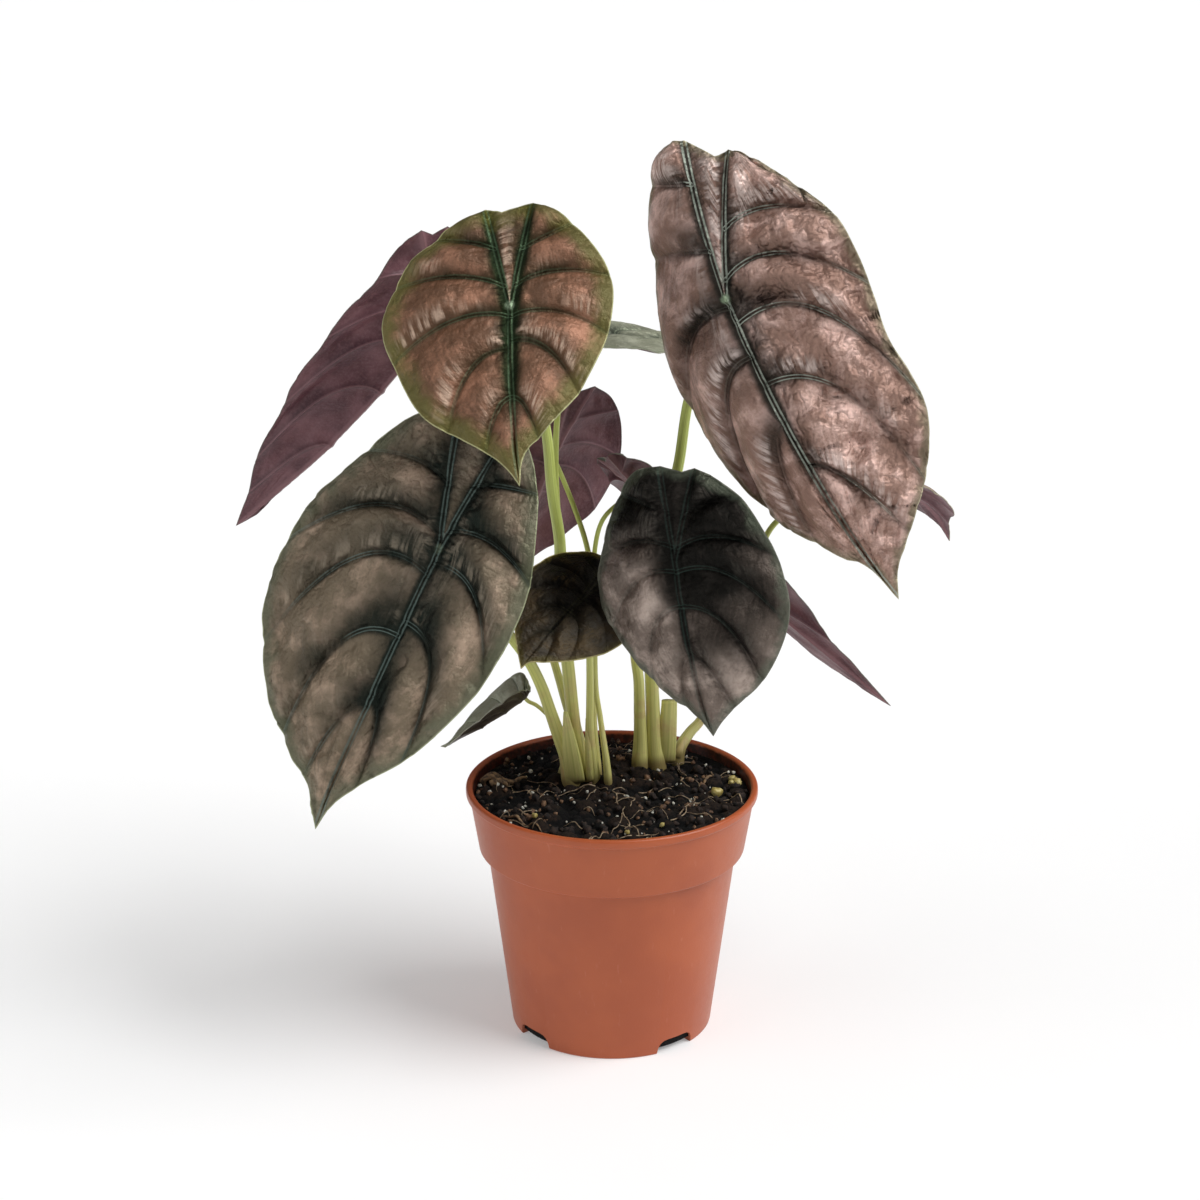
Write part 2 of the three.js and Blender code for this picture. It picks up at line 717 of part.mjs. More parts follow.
function potGeometry() {
  const lipZ = POT_HEIGHT - RIM_DEPTH;
  const profile = [
    [0, 0],
    [BASE_RADIUS, 0],
    [wallRadius(COLLAR_FOOT_Z), COLLAR_FOOT_Z],
    [COLLAR_FOOT_RADIUS, COLLAR_FOOT_Z + COLLAR_STEP],
    [COLLAR_TOP_RADIUS, lipZ],
    [RIM_RADIUS, lipZ + RIM_ROUND],
    [RIM_RADIUS, POT_HEIGHT - RIM_ROUND],
    [RIM_RADIUS - RIM_ROUND, POT_HEIGHT],
    [COLLAR_TOP_RADIUS - POT_WALL + RIM_ROUND, POT_HEIGHT],
    [COLLAR_TOP_RADIUS - POT_WALL, POT_HEIGHT - RIM_ROUND],
    [COLLAR_FOOT_RADIUS - POT_WALL, COLLAR_FOOT_Z + COLLAR_STEP + POT_WALL],
    [WALL_TOP_RADIUS - POT_WALL, COLLAR_FOOT_Z - COLLAR_STEP],
    [wallRadius(POT_FLOOR) - POT_WALL, POT_FLOOR],
    [0, POT_FLOOR],
  ].map(([r, z]) => new THREE.Vector2(r, z));
  const lathe = new THREE.LatheGeometry(profile, POT_SECTORS).rotateX(Math.PI / 2);
  let pot = toSolid(lathe);
  const right = NOTCH_ARCH.map(([a, b]) => new THREE.Vector2(a * NOTCH_HALF_WIDTH, b * NOTCH_HEIGHT));
  const left = right.map(({ x, y }) => new THREE.Vector2(-x, y)).reverse();
  const foot = [new THREE.Vector2(-NOTCH_HALF_WIDTH, -1), new THREE.Vector2(NOTCH_HALF_WIDTH, -1)];
  const arch = new THREE.Shape([...foot, ...right, ...left]);
  const depth = NOTCH_OUTER_RADIUS - NOTCH_INNER_RADIUS;
  for (let i = 0; i < NOTCH_COUNT; i += 1) {
    const cutter = new THREE.ExtrudeGeometry(arch, { depth, bevelEnabled: false })
      .translate(0, 0, NOTCH_INNER_RADIUS)
      .rotateX(Math.PI / 2)
      .rotateZ((TAU * (i + 0.5)) / NOTCH_COUNT + radians(NOTCH_TURN));
    pot = pot.subtract(toSolid(cutter));
  }
  return toGeometry(pot);
}

// The soil: a side wall and floor that keep FIT_GAP from the pot, and a lumpy mounded top.
function soilGeometry() {
  const floorZ = POT_FLOOR + FIT_GAP;
  const inset = POT_WALL + FIT_GAP;
  const side = [
    [wallRadius(POT_FLOOR) - inset, floorZ],
    [WALL_TOP_RADIUS - inset, COLLAR_FOOT_Z - COLLAR_STEP],
    [COLLAR_FOOT_RADIUS - inset, COLLAR_FOOT_Z + COLLAR_STEP + POT_WALL + FIT_GAP],
  ];
  const collarHeight = POT_HEIGHT - RIM_ROUND - COLLAR_FOOT_Z - COLLAR_STEP - POT_WALL;
  const collarSlope = (COLLAR_TOP_RADIUS - COLLAR_FOOT_RADIUS) / collarHeight;
  const [footRadius, footZ] = side[side.length - 1];
  const topRadius = footRadius + collarSlope * (SOIL_EDGE_Z - footZ);
  const positions = [0, 0, floorZ];
  const triangles = [];
  const ring = (r, zOf) => {
    for (let k = 0; k < POT_SECTORS; k += 1) {
      const turn = (TAU * k) / POT_SECTORS;
      const x = r * Math.sin(turn);
      const y = -r * Math.cos(turn);
      positions.push(x, y, zOf(x, y));
    }
  };
  side.forEach(([r, z]) => ring(r, () => z));
  for (let i = SOIL_RINGS; i > 0; i -= 1) {
    const lump = i === SOIL_RINGS ? 0 : SOIL_LUMP;
    ring((topRadius * i) / SOIL_RINGS, (x, y) => {
      const [across, along] = SOIL_LUMP_WAVES.map(([a, b]) => a * x + b * y);
      return soilHeight(x, y) + lump * Math.sin(across) * Math.cos(along);
    });
  }
  positions.push(0, 0, soilHeight(0, 0));
  const ringCount = side.length + SOIL_RINGS;
  const last = positions.length / 3 - 1;
  for (let k = 0; k < POT_SECTORS; k += 1) {
    const next = (k + 1) % POT_SECTORS;
    triangles.push(0, 1 + next, 1 + k);
    for (let i = 0; i < ringCount - 1; i += 1) {
      const a = 1 + i * POT_SECTORS;
      const b = a + POT_SECTORS;
      triangles.push(a + k, a + next, b + next, a + k, b + next, b + k);
    }
    const top = 1 + (ringCount - 1) * POT_SECTORS;
    triangles.push(top + k, top + next, last);
  }
  let soil = toSolid(meshed(positions, triangles));
  for (const { radii, foot } of Object.values(STALKS)) {
    const radius = radii[0] + FIT_GAP;
    const hole = new THREE.CylinderGeometry(radius, radius, HOLE_DEPTH, 2 * STALK_SIDES)
      .rotateX(Math.PI / 2)
      .translate(foot[0], foot[1], HOLE_FLOOR_Z + HOLE_DEPTH / 2);
    soil = soil.subtract(toSolid(hole));
  }
  return toGeometry(soil);
}

const COLOURS = {
  pot: 0xaf5b3f,
  soil: 0x2a201a,
  stalk: 0xa9b26c,
  coppery: 0x7c5f50,
  greyCopper: 0x6f6258,
  dark: 0x4a443e,
  purple: 0x5c3f46,
};
const BLADE_COLOURS = {
  upper_left: COLOURS.coppery,
  upper_right: COLOURS.coppery,
  lower_left: COLOURS.greyCopper,
  lower_right: COLOURS.dark,
  small_front: COLOURS.dark,
  back_left: COLOURS.purple,
  back_middle: COLOURS.purple,
  back_low_right: COLOURS.purple,
  back_right: COLOURS.purple,
  back_level: COLOURS.greyCopper,
  small_low: COLOURS.dark,
};

const group = new THREE.Group();

function addMesh(name, geometry, color, roughness, metalness = 0) {
  const material = new THREE.MeshStandardMaterial({ color, roughness, metalness });
  const mesh = new THREE.Mesh(geometry, material);
  mesh.name = name;
  group.add(mesh);
}

addMesh("pot", potGeometry(), COLOURS.pot, 0.45);
addMesh("soil", soilGeometry(), COLOURS.soil, 0.95);
for (const [name, leaf] of Object.entries(LEAVES)) {
  addMesh("blade_" + name, bladeGeometry(name, leaf), BLADE_COLOURS[name], 0.4, 0.2);
  addMesh("petiole_" + name, stalkGeometry(name, STALKS[name]), COLOURS.stalk, 0.5);
}

export default group;
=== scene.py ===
# A potted alocasia: quilted leaf blades with sunken veins, their stalks and sheaths, a plastic
# nursery pot and crumbly potting mix with perlite. Dimensions are millimetres in the part's own
# frame (+Z up, -Y the front), and MM turns them into Blender's metres.
import math

import bpy
import numpy as np
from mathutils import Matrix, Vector


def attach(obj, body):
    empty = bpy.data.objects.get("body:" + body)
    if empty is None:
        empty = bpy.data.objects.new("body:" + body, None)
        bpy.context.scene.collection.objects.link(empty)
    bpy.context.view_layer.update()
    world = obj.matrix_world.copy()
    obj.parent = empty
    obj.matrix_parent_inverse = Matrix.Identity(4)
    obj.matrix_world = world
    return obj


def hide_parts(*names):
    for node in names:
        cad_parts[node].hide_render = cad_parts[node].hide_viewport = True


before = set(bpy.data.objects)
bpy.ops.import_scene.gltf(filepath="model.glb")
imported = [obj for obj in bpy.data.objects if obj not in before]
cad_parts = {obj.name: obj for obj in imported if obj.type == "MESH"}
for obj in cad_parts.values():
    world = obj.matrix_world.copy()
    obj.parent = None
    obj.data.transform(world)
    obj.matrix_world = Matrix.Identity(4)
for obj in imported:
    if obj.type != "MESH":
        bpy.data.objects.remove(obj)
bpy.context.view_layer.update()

MM = 0.001
BODY = "root"

# Camera, in metres
LENS_MM = 90
SENSOR_MM = 36
CAMERA_AT = (-0.0049, -1.1412, 0.5775)
CAMERA_TARGET = (-0.0049, 0.0, 0.1845)

# Side veins of a half blade, by number. Vein 0 ends the lobe, the last one is the tip, and the
# stalk joins at vein number JUNCTION. Start: -1 lobe end, 0 junction, 1 tip, along the basal vein
# and the midrib. End: share of the margin from the lobe end to the tip. Angle: from the midrib.
JUNCTION = 2.7
VEIN_NUMBERS = [0, 1, 2, JUNCTION, 3, 4, 5, 6]
VEIN_STARTS = [-1, -0.52, -0.15, 0, 0.06, 0.25, 0.52, 1]
VEIN_ENDS = [0, 0.16, 0.36, 0.5, 0.57, 0.76, 0.88, 1]
VEIN_ENDS_SHORT_LOBE = [0, 0.06, 0.15, 0.24, 0.3, 0.52, 0.76, 1]
VEIN_ANGLES = [105, 115, 118, 112, 108, 95, 85, 70]
VEIN_BOWS = [0.35, 0.45, 0.5, 0.5, 0.5, 0.45, 0.26, 0.02]
SIDE_VEINS = [1, 2, 3, 4, 5]

# A half is the blade's left one (0) or its right one (1); x counts up to the left.
SIDE_SIGN = (1, -1)

# Half outline of a plain blade: share of the half width, share of the lobe (< 0) or length (> 0).
PLAIN_HALF = [(0.5, -0.86), (0.84, -0.46), (1, 0.06), (0.92, 0.32), (0.68, 0.56), (0.36, 0.77), (0.12, 0.9)]
PLAIN_BASAL = 0.16
PLAIN_NOTCH = 0.9

# Each blade lies in its own frame at the junction: y to the tip, x to its left half, normal up.
# turn is heading, droop and roll in degrees. fold and curl bend each half across, arch and
# lobe_arch bend the blade along its midrib. Outline points go from the lobe to the tip.
LEAVES = {
    "upper_left": dict(
        at=(-39, -30, 313), turn=(-90, 46, 10), length=74, lobe=46.5, halves=(46.5, 42.5),
        fold=(-2, -2), curl=(10, 10), arch=12, lobe_arch=6, tip_shift=-3, quilt=2.8, strip=1,
        basal=((11, -45.5), (8, -46.5)), notch=(4, -42.5),
        starts=((-1, -0.58, -0.2, 0, 0.06, 0.25, 0.52, 1), (-1, -0.55, -0.2, 0, 0.06, 0.2, 0.52, 1)),
        ends=((0, 0.14, 0.3, 0.45, 0.52, 0.77, 0.88, 1), (0, 0.13, 0.33, 0.45, 0.51, 0.7, 0.86, 1)),
        outlines=(
            ((22.5, -39.5), (40.5, -25.5), (49.5, -7), (50.5, 8), (45.5, 21.5), (33.5, 43.5),
             (19.5, 53.5), (7, 62), (1, 68)),
            ((19.5, -39.5), (30.5, -26.5), (38.5, -10), (38.5, 8), (33.5, 24.5), (25.5, 39.5),
             (14, 52.5), (5, 63)),
        ),
    ),
    "upper_right": dict(
        at=(43, -20, 313), turn=(-45, 58, 62), length=135, lobe=65.5, halves=(43.5, 55.5),
        fold=(-20, -6), curl=(28, 10), arch=25, lobe_arch=28, tip_shift=-10, quilt=3.6, strip=-2.5,
        basal=((-4, -69.5), (20, -57.5)), notch=(-14, -57.5),
        starts=((-1, -0.7, -0.28, 0, 0.03, 0.18, 0.39, 1), (-1, -0.45, -0.12, 0, 0.08, 0.27, 0.53, 1)),
        ends=((0, 0.1, 0.23, 0.46, 0.51, 0.73, 0.83, 1), (0, 0.24, 0.39, 0.53, 0.62, 0.77, 0.87, 1)),
        outlines=(
            ((8, -69.5), (18, -60.5), (25, -41.5), (36.5, -14), (43.5, 6), (45.5, 31.5),
             (36.5, 59.5), (24, 85), (8, 103), (-5, 116)),
            ((30, -46.5), (40.5, -32), (50.5, -14), (53, 4), (52.5, 22), (51, 39), (53, 55),
             (53, 70), (43, 92.5), (31.5, 106.5), (16, 123)),
        ),
    ),
    "lower_left": dict(
        at=(-67, -42, 220), turn=(-150, 60, -32), length=121, lobe=55, halves=(59, 45.5),
        fold=(2, -4), curl=(8, 10), arch=10, lobe_arch=10, tip_shift=1, quilt=3.4, strip=1,
        basal=((19.5, -53), (4, -55)), notch=(6, -51),
        starts=((-1, -0.45, -0.07, 0, 0.09, 0.31, 0.56, 1), (-1, -0.52, -0.14, 0, 0.05, 0.26, 0.52, 1)),
        ends=((0, 0.2, 0.43, 0.57, 0.63, 0.81, 0.9, 1), (0, 0.15, 0.33, 0.49, 0.55, 0.77, 0.88, 1)),
        outlines=(
            ((34.5, -42.5), (51, -13), (60, 8), (63, 30.5), (58, 57), (48, 73), (35.5, 88.5),
             (20.5, 99.5), (8, 110)),
            ((13, -51), (25.5, -36.5), (34.5, -18.5), (40.5, 1), (41.5, 21.5), (38.5, 43.5),
             (30.5, 66), (20.5, 83.5), (9, 98), (2, 110)),
        ),
    ),
    "lower_right": dict(
        at=(24, -34, 212), turn=(-60, 76, 52), length=73, lobe=38.5, halves=(40.5, 40.5),
        fold=(-2, -2), curl=(10, 10), arch=18, lobe_arch=6, tip_shift=-3, quilt=2.4, strip=1,
        basal=((2, -37.5), (12, -35.5)), notch=(-7, -34.5),
        outlines=(
            ((12, -36.5), (20.5, -27.5), (29.5, -10), (34.5, 4), (33.5, 20.5), (28.5, 30.5),
             (20.5, 43.5), (10, 55), (1, 64)),
            ((19.5, -31.5), (29.5, -22.5), (38.5, -6), (42.5, 8), (43.5, 21.5), (39.5, 34.5),
             (28.5, 50.5), (16, 60), (8, 67)),
        ),
    ),
    "small_front": dict(
        at=(-11, -10, 190), turn=(-135, 27, -30), length=42, lobe=21, halves=(25, 25),
        fold=(-3, -2), curl=(8, 8), arch=7, lobe_arch=9, tip_shift=-2, quilt=0.9, strip=0.4,
    ),
    "back_left": dict(
        at=(-76, 45, 282), turn=(163, 52, 22), length=126, lobe=47, halves=(36, 38),
        fold=(50, 28), curl=(8, 8), arch=-12, lobe_arch=-25, tip_shift=-3, quilt=1.8, strip=1,
        basal=((-13, -49), (24, -45)), notch=(-18, -44),
        outlines=(
            ((2, -44), (20, -28), (34, -6), (38, 14), (36, 32), (28, 56), (15, 82.5), (4, 104.5)),
            ((30, -36), (35, -15), (38, 6), (37, 28), (35, 46), (29, 64.5), (23, 86.5), (13, 104.5)),
        ),
    ),
    "back_middle": dict(
        at=(-25, 66, 225), turn=(171, 69, 54), length=63, lobe=35.5, halves=(34.5, 34.5),
        fold=(7, 8), curl=(8, 8), arch=-7, lobe_arch=9, tip_shift=0, quilt=1.4, strip=0.6,
    ),
    "back_low_right": dict(
        at=(11, 36, 220), turn=(0, 44, -31), length=142, lobe=20.5, halves=(37, 39),
        fold=(9, 10), curl=(10, 10), arch=-3, lobe_arch=7, tip_shift=4, quilt=1.6, strip=0.5,
        ends=(VEIN_ENDS_SHORT_LOBE, VEIN_ENDS_SHORT_LOBE),
        outlines=(
            ((12, -18), (21, -9), (28, 11), (33, 36), (32, 59), (25, 78), (17, 92), (13, 106), (9, 123)),
            ((16, -17), (26, -8), (31, 14), (31, 42), (26, 70), (17.5, 97), (14, 113), (4, 124)),
        ),
    ),
    "back_right": dict(
        at=(100, 60, 220), turn=(25, 10, -10), length=65.5, lobe=30.5, halves=(30.5, 30.5),
        fold=(3, 0), curl=(10, 10), arch=51, lobe_arch=8, tip_shift=-8, quilt=1.2, strip=0.5,
        outlines=(
            ((15.5, -26.5), (25.5, -14.5), (30.5, 4), (27.5, 21.5), (20.5, 35.5), (13.5, 47), (4, 52)),
            ((15.5, -26.5), (25.5, -14.5), (30.5, 2), (28.5, 22.5), (22.5, 37), (15.5, 48), (10, 53)),
        ),
    ),
    "back_level": dict(
        at=(-13, 45, 284), turn=(19, 11, 0), length=68, lobe=32.5, halves=(30.5, 30.5),
        fold=(5, 5), curl=(8, 8), arch=5, lobe_arch=8, tip_shift=0, quilt=1.4, strip=0.6,
    ),
    "small_low": dict(
        at=(-36, 5, 141), turn=(177, 41, 0), length=42, lobe=4, halves=(17, 16),
        fold=(25, 29), curl=(8, 8), arch=-12, lobe_arch=8, tip_shift=2, quilt=0.8, strip=0.3,
        ends=(VEIN_ENDS_SHORT_LOBE, VEIN_ENDS_SHORT_LOBE),
    ),
}

# Stalks: radii at the foot, at STALK_MIDDLE of the way and at the blade, the foot's place in the
# soil, and the points that the stalk passes. A sheath wraps the foot and ends in a free tip.
STALKS = {
    "upper_left": dict(
        radii=(2.9, 2.6, 1.7), foot=(-12, 11),
        points=((-14.5, 10.5, 117.5), (-16, 10, 131), (-17, 9.5, 142), (-18.5, 10, 157.5),
                (-22, 15, 180), (-21, 13, 202), (-24, 2, 230), (-26, -10, 258), (-31, -21, 286)),
    ),
    "upper_right": dict(
        radii=(3.4, 2.6, 1.7), foot=(18.8, 27.5),
        points=((18, 27.5, 111), (17, 25.5, 129.5), (16, 16, 162), (18, 8, 199), (21, 5, 221),
                (26, 5, 238), (30, 5, 266), (37, -4, 292)),
        sheath=dict(start=(23, 27.5, 103.5), end=(24, 27, 131), width=3.8, thickness=1.8, tip=0.85),
    ),
    "lower_left": dict(
        radii=(3.4, 2.5, 1.5), foot=(-17, 6.5),
        points=((-18.5, 5.5, 114), (-21.5, 4, 123.5), (-25, 0, 136), (-28.5, -5, 149),
                (-33.5, -11, 162.5), (-39, -16, 172.5), (-46.5, -22, 186), (-55.5, -31, 203.5)),
        sheath=dict(start=(-15, 4, 103.8), end=(-19, -1.5, 137), width=4, thickness=1.2, tip=0.2),
    ),
    "lower_right": dict(
        radii=(3, 2.3, 1.4), foot=(11.8, 25.5),
        points=((12, 25.5, 113), (11.5, 22.5, 129), (11, 17, 144), (9.5, 11, 159), (12.5, 1, 179),
                (17.5, -14, 197)),
    ),
    "small_front": dict(
        radii=(2, 1.7, 1.2), foot=(-7, 7),
        points=((-8, 5, 114.5), (-9, 3, 127), (-9, 1, 141), (-9, -2, 155), (-9.5, -5, 173.5)),
        sheath=dict(start=(-9, 5, 103.8), end=(-10.5, 2.5, 132.5), width=1.6, thickness=1, tip=0.2),
    ),
    "back_left": dict(
        radii=(2.1, 1.6, 1.2), foot=(-16.5, 17),
        points=((-16.5, 18, 121.5), (-20.5, 19, 138.5), (-26.5, 21, 160), (-33.5, 24, 185),
                (-43, 27, 218.5), (-55.5, 31, 255), (-66.5, 37, 272.5)),
    ),
    "back_middle": dict(
        radii=(1.7, 1.3, 1), foot=(-6, 14),
        points=((-7.5, 15, 127), (-7.5, 20, 151.5), (-7.5, 30, 174), (-10, 42, 192), (-16, 56, 207)),
    ),
    "back_low_right": dict(
        radii=(1.5, 1.1, 0.9), foot=(-1.5, 4.5),
        points=((-2.5, 5, 114.5), (-3.5, 6, 121.5), (-5, 8, 132), (-6.5, 10, 142), (-7, 11.5, 163.5),
                (-7, 13, 180), (-7, 18, 200), (-4, 25, 210), (2, 31, 215)),
    ),
    "back_right": dict(
        radii=(2.4, 1.5, 1.1), foot=(28, 34.5),
        points=((29, 36.5, 106), (33, 42, 110.5), (38.5, 48, 115), (50.5, 62, 145), (61, 69, 174),
                (66, 70, 190), (71, 69, 197), (85, 65, 209)),
        sheath=dict(start=(27.5, 32.5, 103.2), end=(30, 36, 109.5), width=1.8, thickness=1, tip=0.2),
    ),
    "back_level": dict(
        radii=(1.9, 1.5, 1.1), foot=(-10, 19.5),
        points=((-15, 23, 124), (-17.5, 25, 149.5), (-19.5, 28, 175), (-21.5, 30, 200), (-23, 32, 230),
                (-22, 34, 254), (-19, 39, 274)),
    ),
    "small_low": dict(
        radii=(1.3, 0.9, 0.8), foot=(-21.5, 12.5),
        points=((-19, 13, 114.5), (-23, 11, 126.5), (-27, 9, 132), (-31, 7, 136.5)),
    ),
}

# Pot
POT_HEIGHT = 105
RIM_RADIUS = 60
RIM_DEPTH = 4
RIM_ROUND = 0.8
COLLAR_TOP_RADIUS = 58.5
COLLAR_FOOT_RADIUS = 54.7
COLLAR_FOOT_Z = 77
COLLAR_STEP = 1
WALL_TOP_RADIUS = 51.3
BASE_RADIUS = 41.5
POT_WALL = 1.3
POT_FLOOR = 1.8
NOTCH_COUNT = 4
NOTCH_TURN = -6
NOTCH_HALF_WIDTH = 9
NOTCH_HEIGHT = 6
NOTCH_INNER_RADIUS = 35
NOTCH_OUTER_RADIUS = 50
POT_SECTORS = 192

# Soil. ROLLING: height, width and seed of its slow waves. CRUMBS: radius and count of the lumps.
SOIL_EDGE_Z = 100.5
SOIL_MOUND = 1.5
SOIL_RINGS = 120
SOIL_SECTORS = 360
SOIL_SEED = 11
FIT_GAP = 0.3
ROLLING = ((1.6, 17, 5), (0.8, 7, 6))
CRUMBS = ((4.5, 80), (2.6, 380), (1.5, 1500), (0.8, 2600))
CRUMB_REACH = 56
CRUMB_SINK = 1.4

# Bits on the soil. A fibre that would pass BITS_REACH turns by TURN_BACK. GRAINS: count, least and
# greatest half length. BEADS: place and half length. TWIGS: start, heading in degrees, length and
# radius. BIT_LOOKS: material, its dark and its light colour, scale of the mottling and roughness.
BITS_SEED = 29
BITS_REACH = 55.5
TURN_BACK = 1.6
STALK_CLEARANCE = 6
GRAINS = {"perlite_grains": (95, 0.4, 1.25), "bark_chips": (150, 0.5, 1.6), "peat_lumps": (260, 0.8, 2.6)}
BEADS = [(43, -5, 2.4), (50, 12, 1.7), (52, 9, 1.6), (49.5, 6, 1.3), (-31, -30, 1.2), (20, -34, 1.1),
         (6, -44, 1)]
HAIR_COUNT = 70
HAIR_REACH = 52
TWIGS = [(-54, 9, -8, 19, 1.5), (-52, 12, -12, 12, 1.1), (-50, 4, 5, 7, 1.8), (-44, -24, -42, 24, 0.6),
         (38, 8, 60, 14, 0.6), (-8, 44, 20, 12, 0.8)]
BIT_LOOKS = {
    "perlite_grains": ("perlite", (176, 174, 160), (226, 224, 212), 0.9, 0.7),
    "bark_chips": ("bark_chips", (66, 44, 30), (132, 100, 72), 0.8, 0.7),
    "peat_lumps": ("peat_lumps", (12, 9, 8), (50, 36, 28), 0.7, 0.9),
    "fertiliser_beads": ("fertiliser_beads", (150, 132, 62), (206, 192, 128), 0.5, 0.45),
    "root_hairs": ("root_hairs", (104, 82, 60), (176, 156, 128), 0.6, 0.7),
    "twigs": ("twigs", (74, 58, 44), (150, 120, 86), 0.7, 0.7),
}

# Stalks and blades. The stalk bends to its blade over STALK_NECK, and its colours change over
# STALK_REACH above the soil. Quilting that is FULL_QUILT deep comes with veins and puckers of full depth.
# Grooves of the upper face: height and width of the raised line in it, its depth and its width.
# Ridges of the underside: height and width.
STALK_FOOT_Z = 84
STALK_MIDDLE = 0.35
STALK_NECK = 2.5
STALK_REACH = 260
STALK_SIDES = 24
SHEATH_STEPS = 20
SHEATH_SIDES = 16
BLADE_THICKNESS = 0.6
STRIP_COLUMNS = 8
FULL_QUILT = 2.6
QUILT_AT_MARGIN = 0.4
QUILT_SKEW = 1.4
QUILT_PUFF = 0.75
QUILT_RELIEF = 1.5
CREASE_DEPTH = 0.7
RIPPLES_PER_VEIN = 13
RIPPLE_SPACING = 4.6
VEIN_RIPPLE = 0.16
RIB_RIPPLE = 0.18
VEIN_GROOVE = (0.5, 0.45, 0.7, 1.6)
RIB_GROOVE = (0.6, 0.7, 0.9, 3)
RIB_RIDGE = (1.5, 1.5)
VEIN_RIDGE = (0.55, 0.9)

# Stage: half width of the floor, and each sun's direction, spread in degrees and strength.
FLOOR_HALF = 12000
FLOOR_GLOW = 0.25
WORLD_STRENGTH = 0.12
SUNS = {
    "key": ((0.6, -0.18, 0.75), 45, 2.9),
    "fill": ((-0.9, -0.35, 0.45), 60, 0.75),
    "top": ((0.0, 0.15, 1), 80, 0.5),
}


def srgb(r, g, b):
    """An sRGB colour, 0 to 255, as the linear RGBA that Blender's nodes take."""
    def linear(c):
        c /= 255
        return c / 12.92 if c <= 0.04045 else ((c + 0.055) / 1.055) ** 2.4
    return (linear(r), linear(g), linear(b), 1.0)


def smoothstep(low, high, x):
    t = np.clip((x - low) / (high - low), 0, 1)
    return t * t * (3 - 2 * t)


def mound(distance, width):
    """1 at no distance, fading smoothly over about the width."""
    return np.exp(-((distance / width) ** 2))


def turns(count):
    """Angles of equal steps around one full turn."""
    return 2 * math.pi * np.arange(count) / count


# Objects and meshes

def add_object(name, data):
    thing = bpy.data.objects.new(name, data)
    bpy.context.scene.collection.objects.link(thing)
    return thing


def add_plain_mesh(name, points_mm, faces, materials=()):
    """A mesh object from points in millimetres."""
    mesh = bpy.data.meshes.new(name)
    mesh.from_pydata((np.asarray(points_mm, float) * MM).tolist(), [], faces)
    mesh.validate()
    for material in materials:
        mesh.materials.append(material)
    return add_object(name, mesh)


def add_mesh(name, points_mm, faces, materials, replaces=()):
    """A smooth-shaded piece of the part, riding on its body."""
    piece = add_plain_mesh(name, points_mm, faces, materials)
    piece.data.shade_smooth()
    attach(piece, BODY)
    if replaces:
        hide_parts(*replaces)
    return piece


def store(mesh, name, values):
    """A value for each vertex, which the materials read by its name."""
    attribute = mesh.attributes.new(name, "FLOAT", "POINT")
    attribute.data.foreach_set("value", np.asarray(values, np.float32))


def subtract(piece, cutter):
    """Takes the cutter's body out of the piece's mesh, then removes the cutter."""
    modifier = piece.modifiers.new("cut", "BOOLEAN")
    modifier.operation = "DIFFERENCE"
    modifier.object = cutter
    modifier.solver = "EXACT"
    bpy.context.view_layer.update()
    evaluated = piece.evaluated_get(bpy.context.evaluated_depsgraph_get())
    made = bpy.data.meshes.new_from_object(evaluated)
    piece.modifiers.clear()
    old = piece.data
    piece.data = made
    bpy.data.meshes.remove(old)
    bpy.data.objects.remove(cutter)


def catmull_rom(points, per_span):
    """Points of the centripetal Catmull-Rom curve through the given ones."""
    p = np.asarray(points, float)
    p = np.vstack([2 * p[0] - p[1], p, 2 * p[-1] - p[-2]])
    t = np.arange(per_span)[:, None] / per_span
    out = []
    for a, b, c, d in zip(p[:-3], p[1:-2], p[2:-1], p[3:]):
        ab, bc, cd = (max(np.linalg.norm(v) ** 0.5, 1e-4) for v in (b - a, c - b, d - c))
        at_b = ((b - a) / ab - (c - a) / (ab + bc) + (c - b) / bc) * bc
        at_c = ((c - b) / bc - (d - b) / (bc + cd) + (d - c) / cd) * bc
        out.append(
            (2 * t**3 - 3 * t**2 + 1) * b + (t**3 - 2 * t**2 + t) * at_b
            + (3 * t**2 - 2 * t**3) * c + (t**3 - t**2) * at_c
        )
    return np.vstack([*out, p[-2:-1]])


def lengths_along(line):
    """Length of a chain of points up to each point."""
    return np.concatenate([[0], np.cumsum(np.linalg.norm(np.diff(line, axis=0), axis=1))])


def along(line, shares):
    """Points of a chain of points at shares of its length."""
    lengths = lengths_along(line)
    at = np.asarray(shares) * lengths[-1]
    return np.stack([np.interp(at, lengths, line[:, i]) for i in range(line.shape[1])], -1)


def distance_to(points, chain):
    """Distance of each point to a chain of points, and the share of the chain where it is nearest."""
    a, ab = chain[:-1], np.diff(chain, axis=0)
    best = np.full(len(points), np.inf)
    share = np.zeros(len(points))
    for i, (start, span) in enumerate(zip(a, ab)):
        t = np.clip((points - start) @ span / max(span @ span, 1e-12), 0, 1)
        gap = np.linalg.norm(points - start - t[:, None] * span, axis=1)
        nearer = gap < best
        best[nearer] = gap[nearer]
        share[nearer] = (i + t[nearer]) / len(ab)
    return best, share


def noise(points, size, seed):
    """Smooth value noise, -1 to 1, with cells of the given size in the points' unit."""
    grid = np.random.default_rng(seed).uniform(-1, 1, (64, 64))
    p = points / size
    cell = np.floor(p).astype(int)
    f = p - cell
    f = f * f * (3 - 2 * f)
    i, j = cell[:, 0] % 64, cell[:, 1] % 64
    k, m = (i + 1) % 64, (j + 1) % 64
    low = grid[i, j] * (1 - f[:, 0]) + grid[k, j] * f[:, 0]
    high = grid[i, m] * (1 - f[:, 0]) + grid[k, m] * f[:, 0]
    return low * (1 - f[:, 1]) + high * f[:, 1]


# Blades

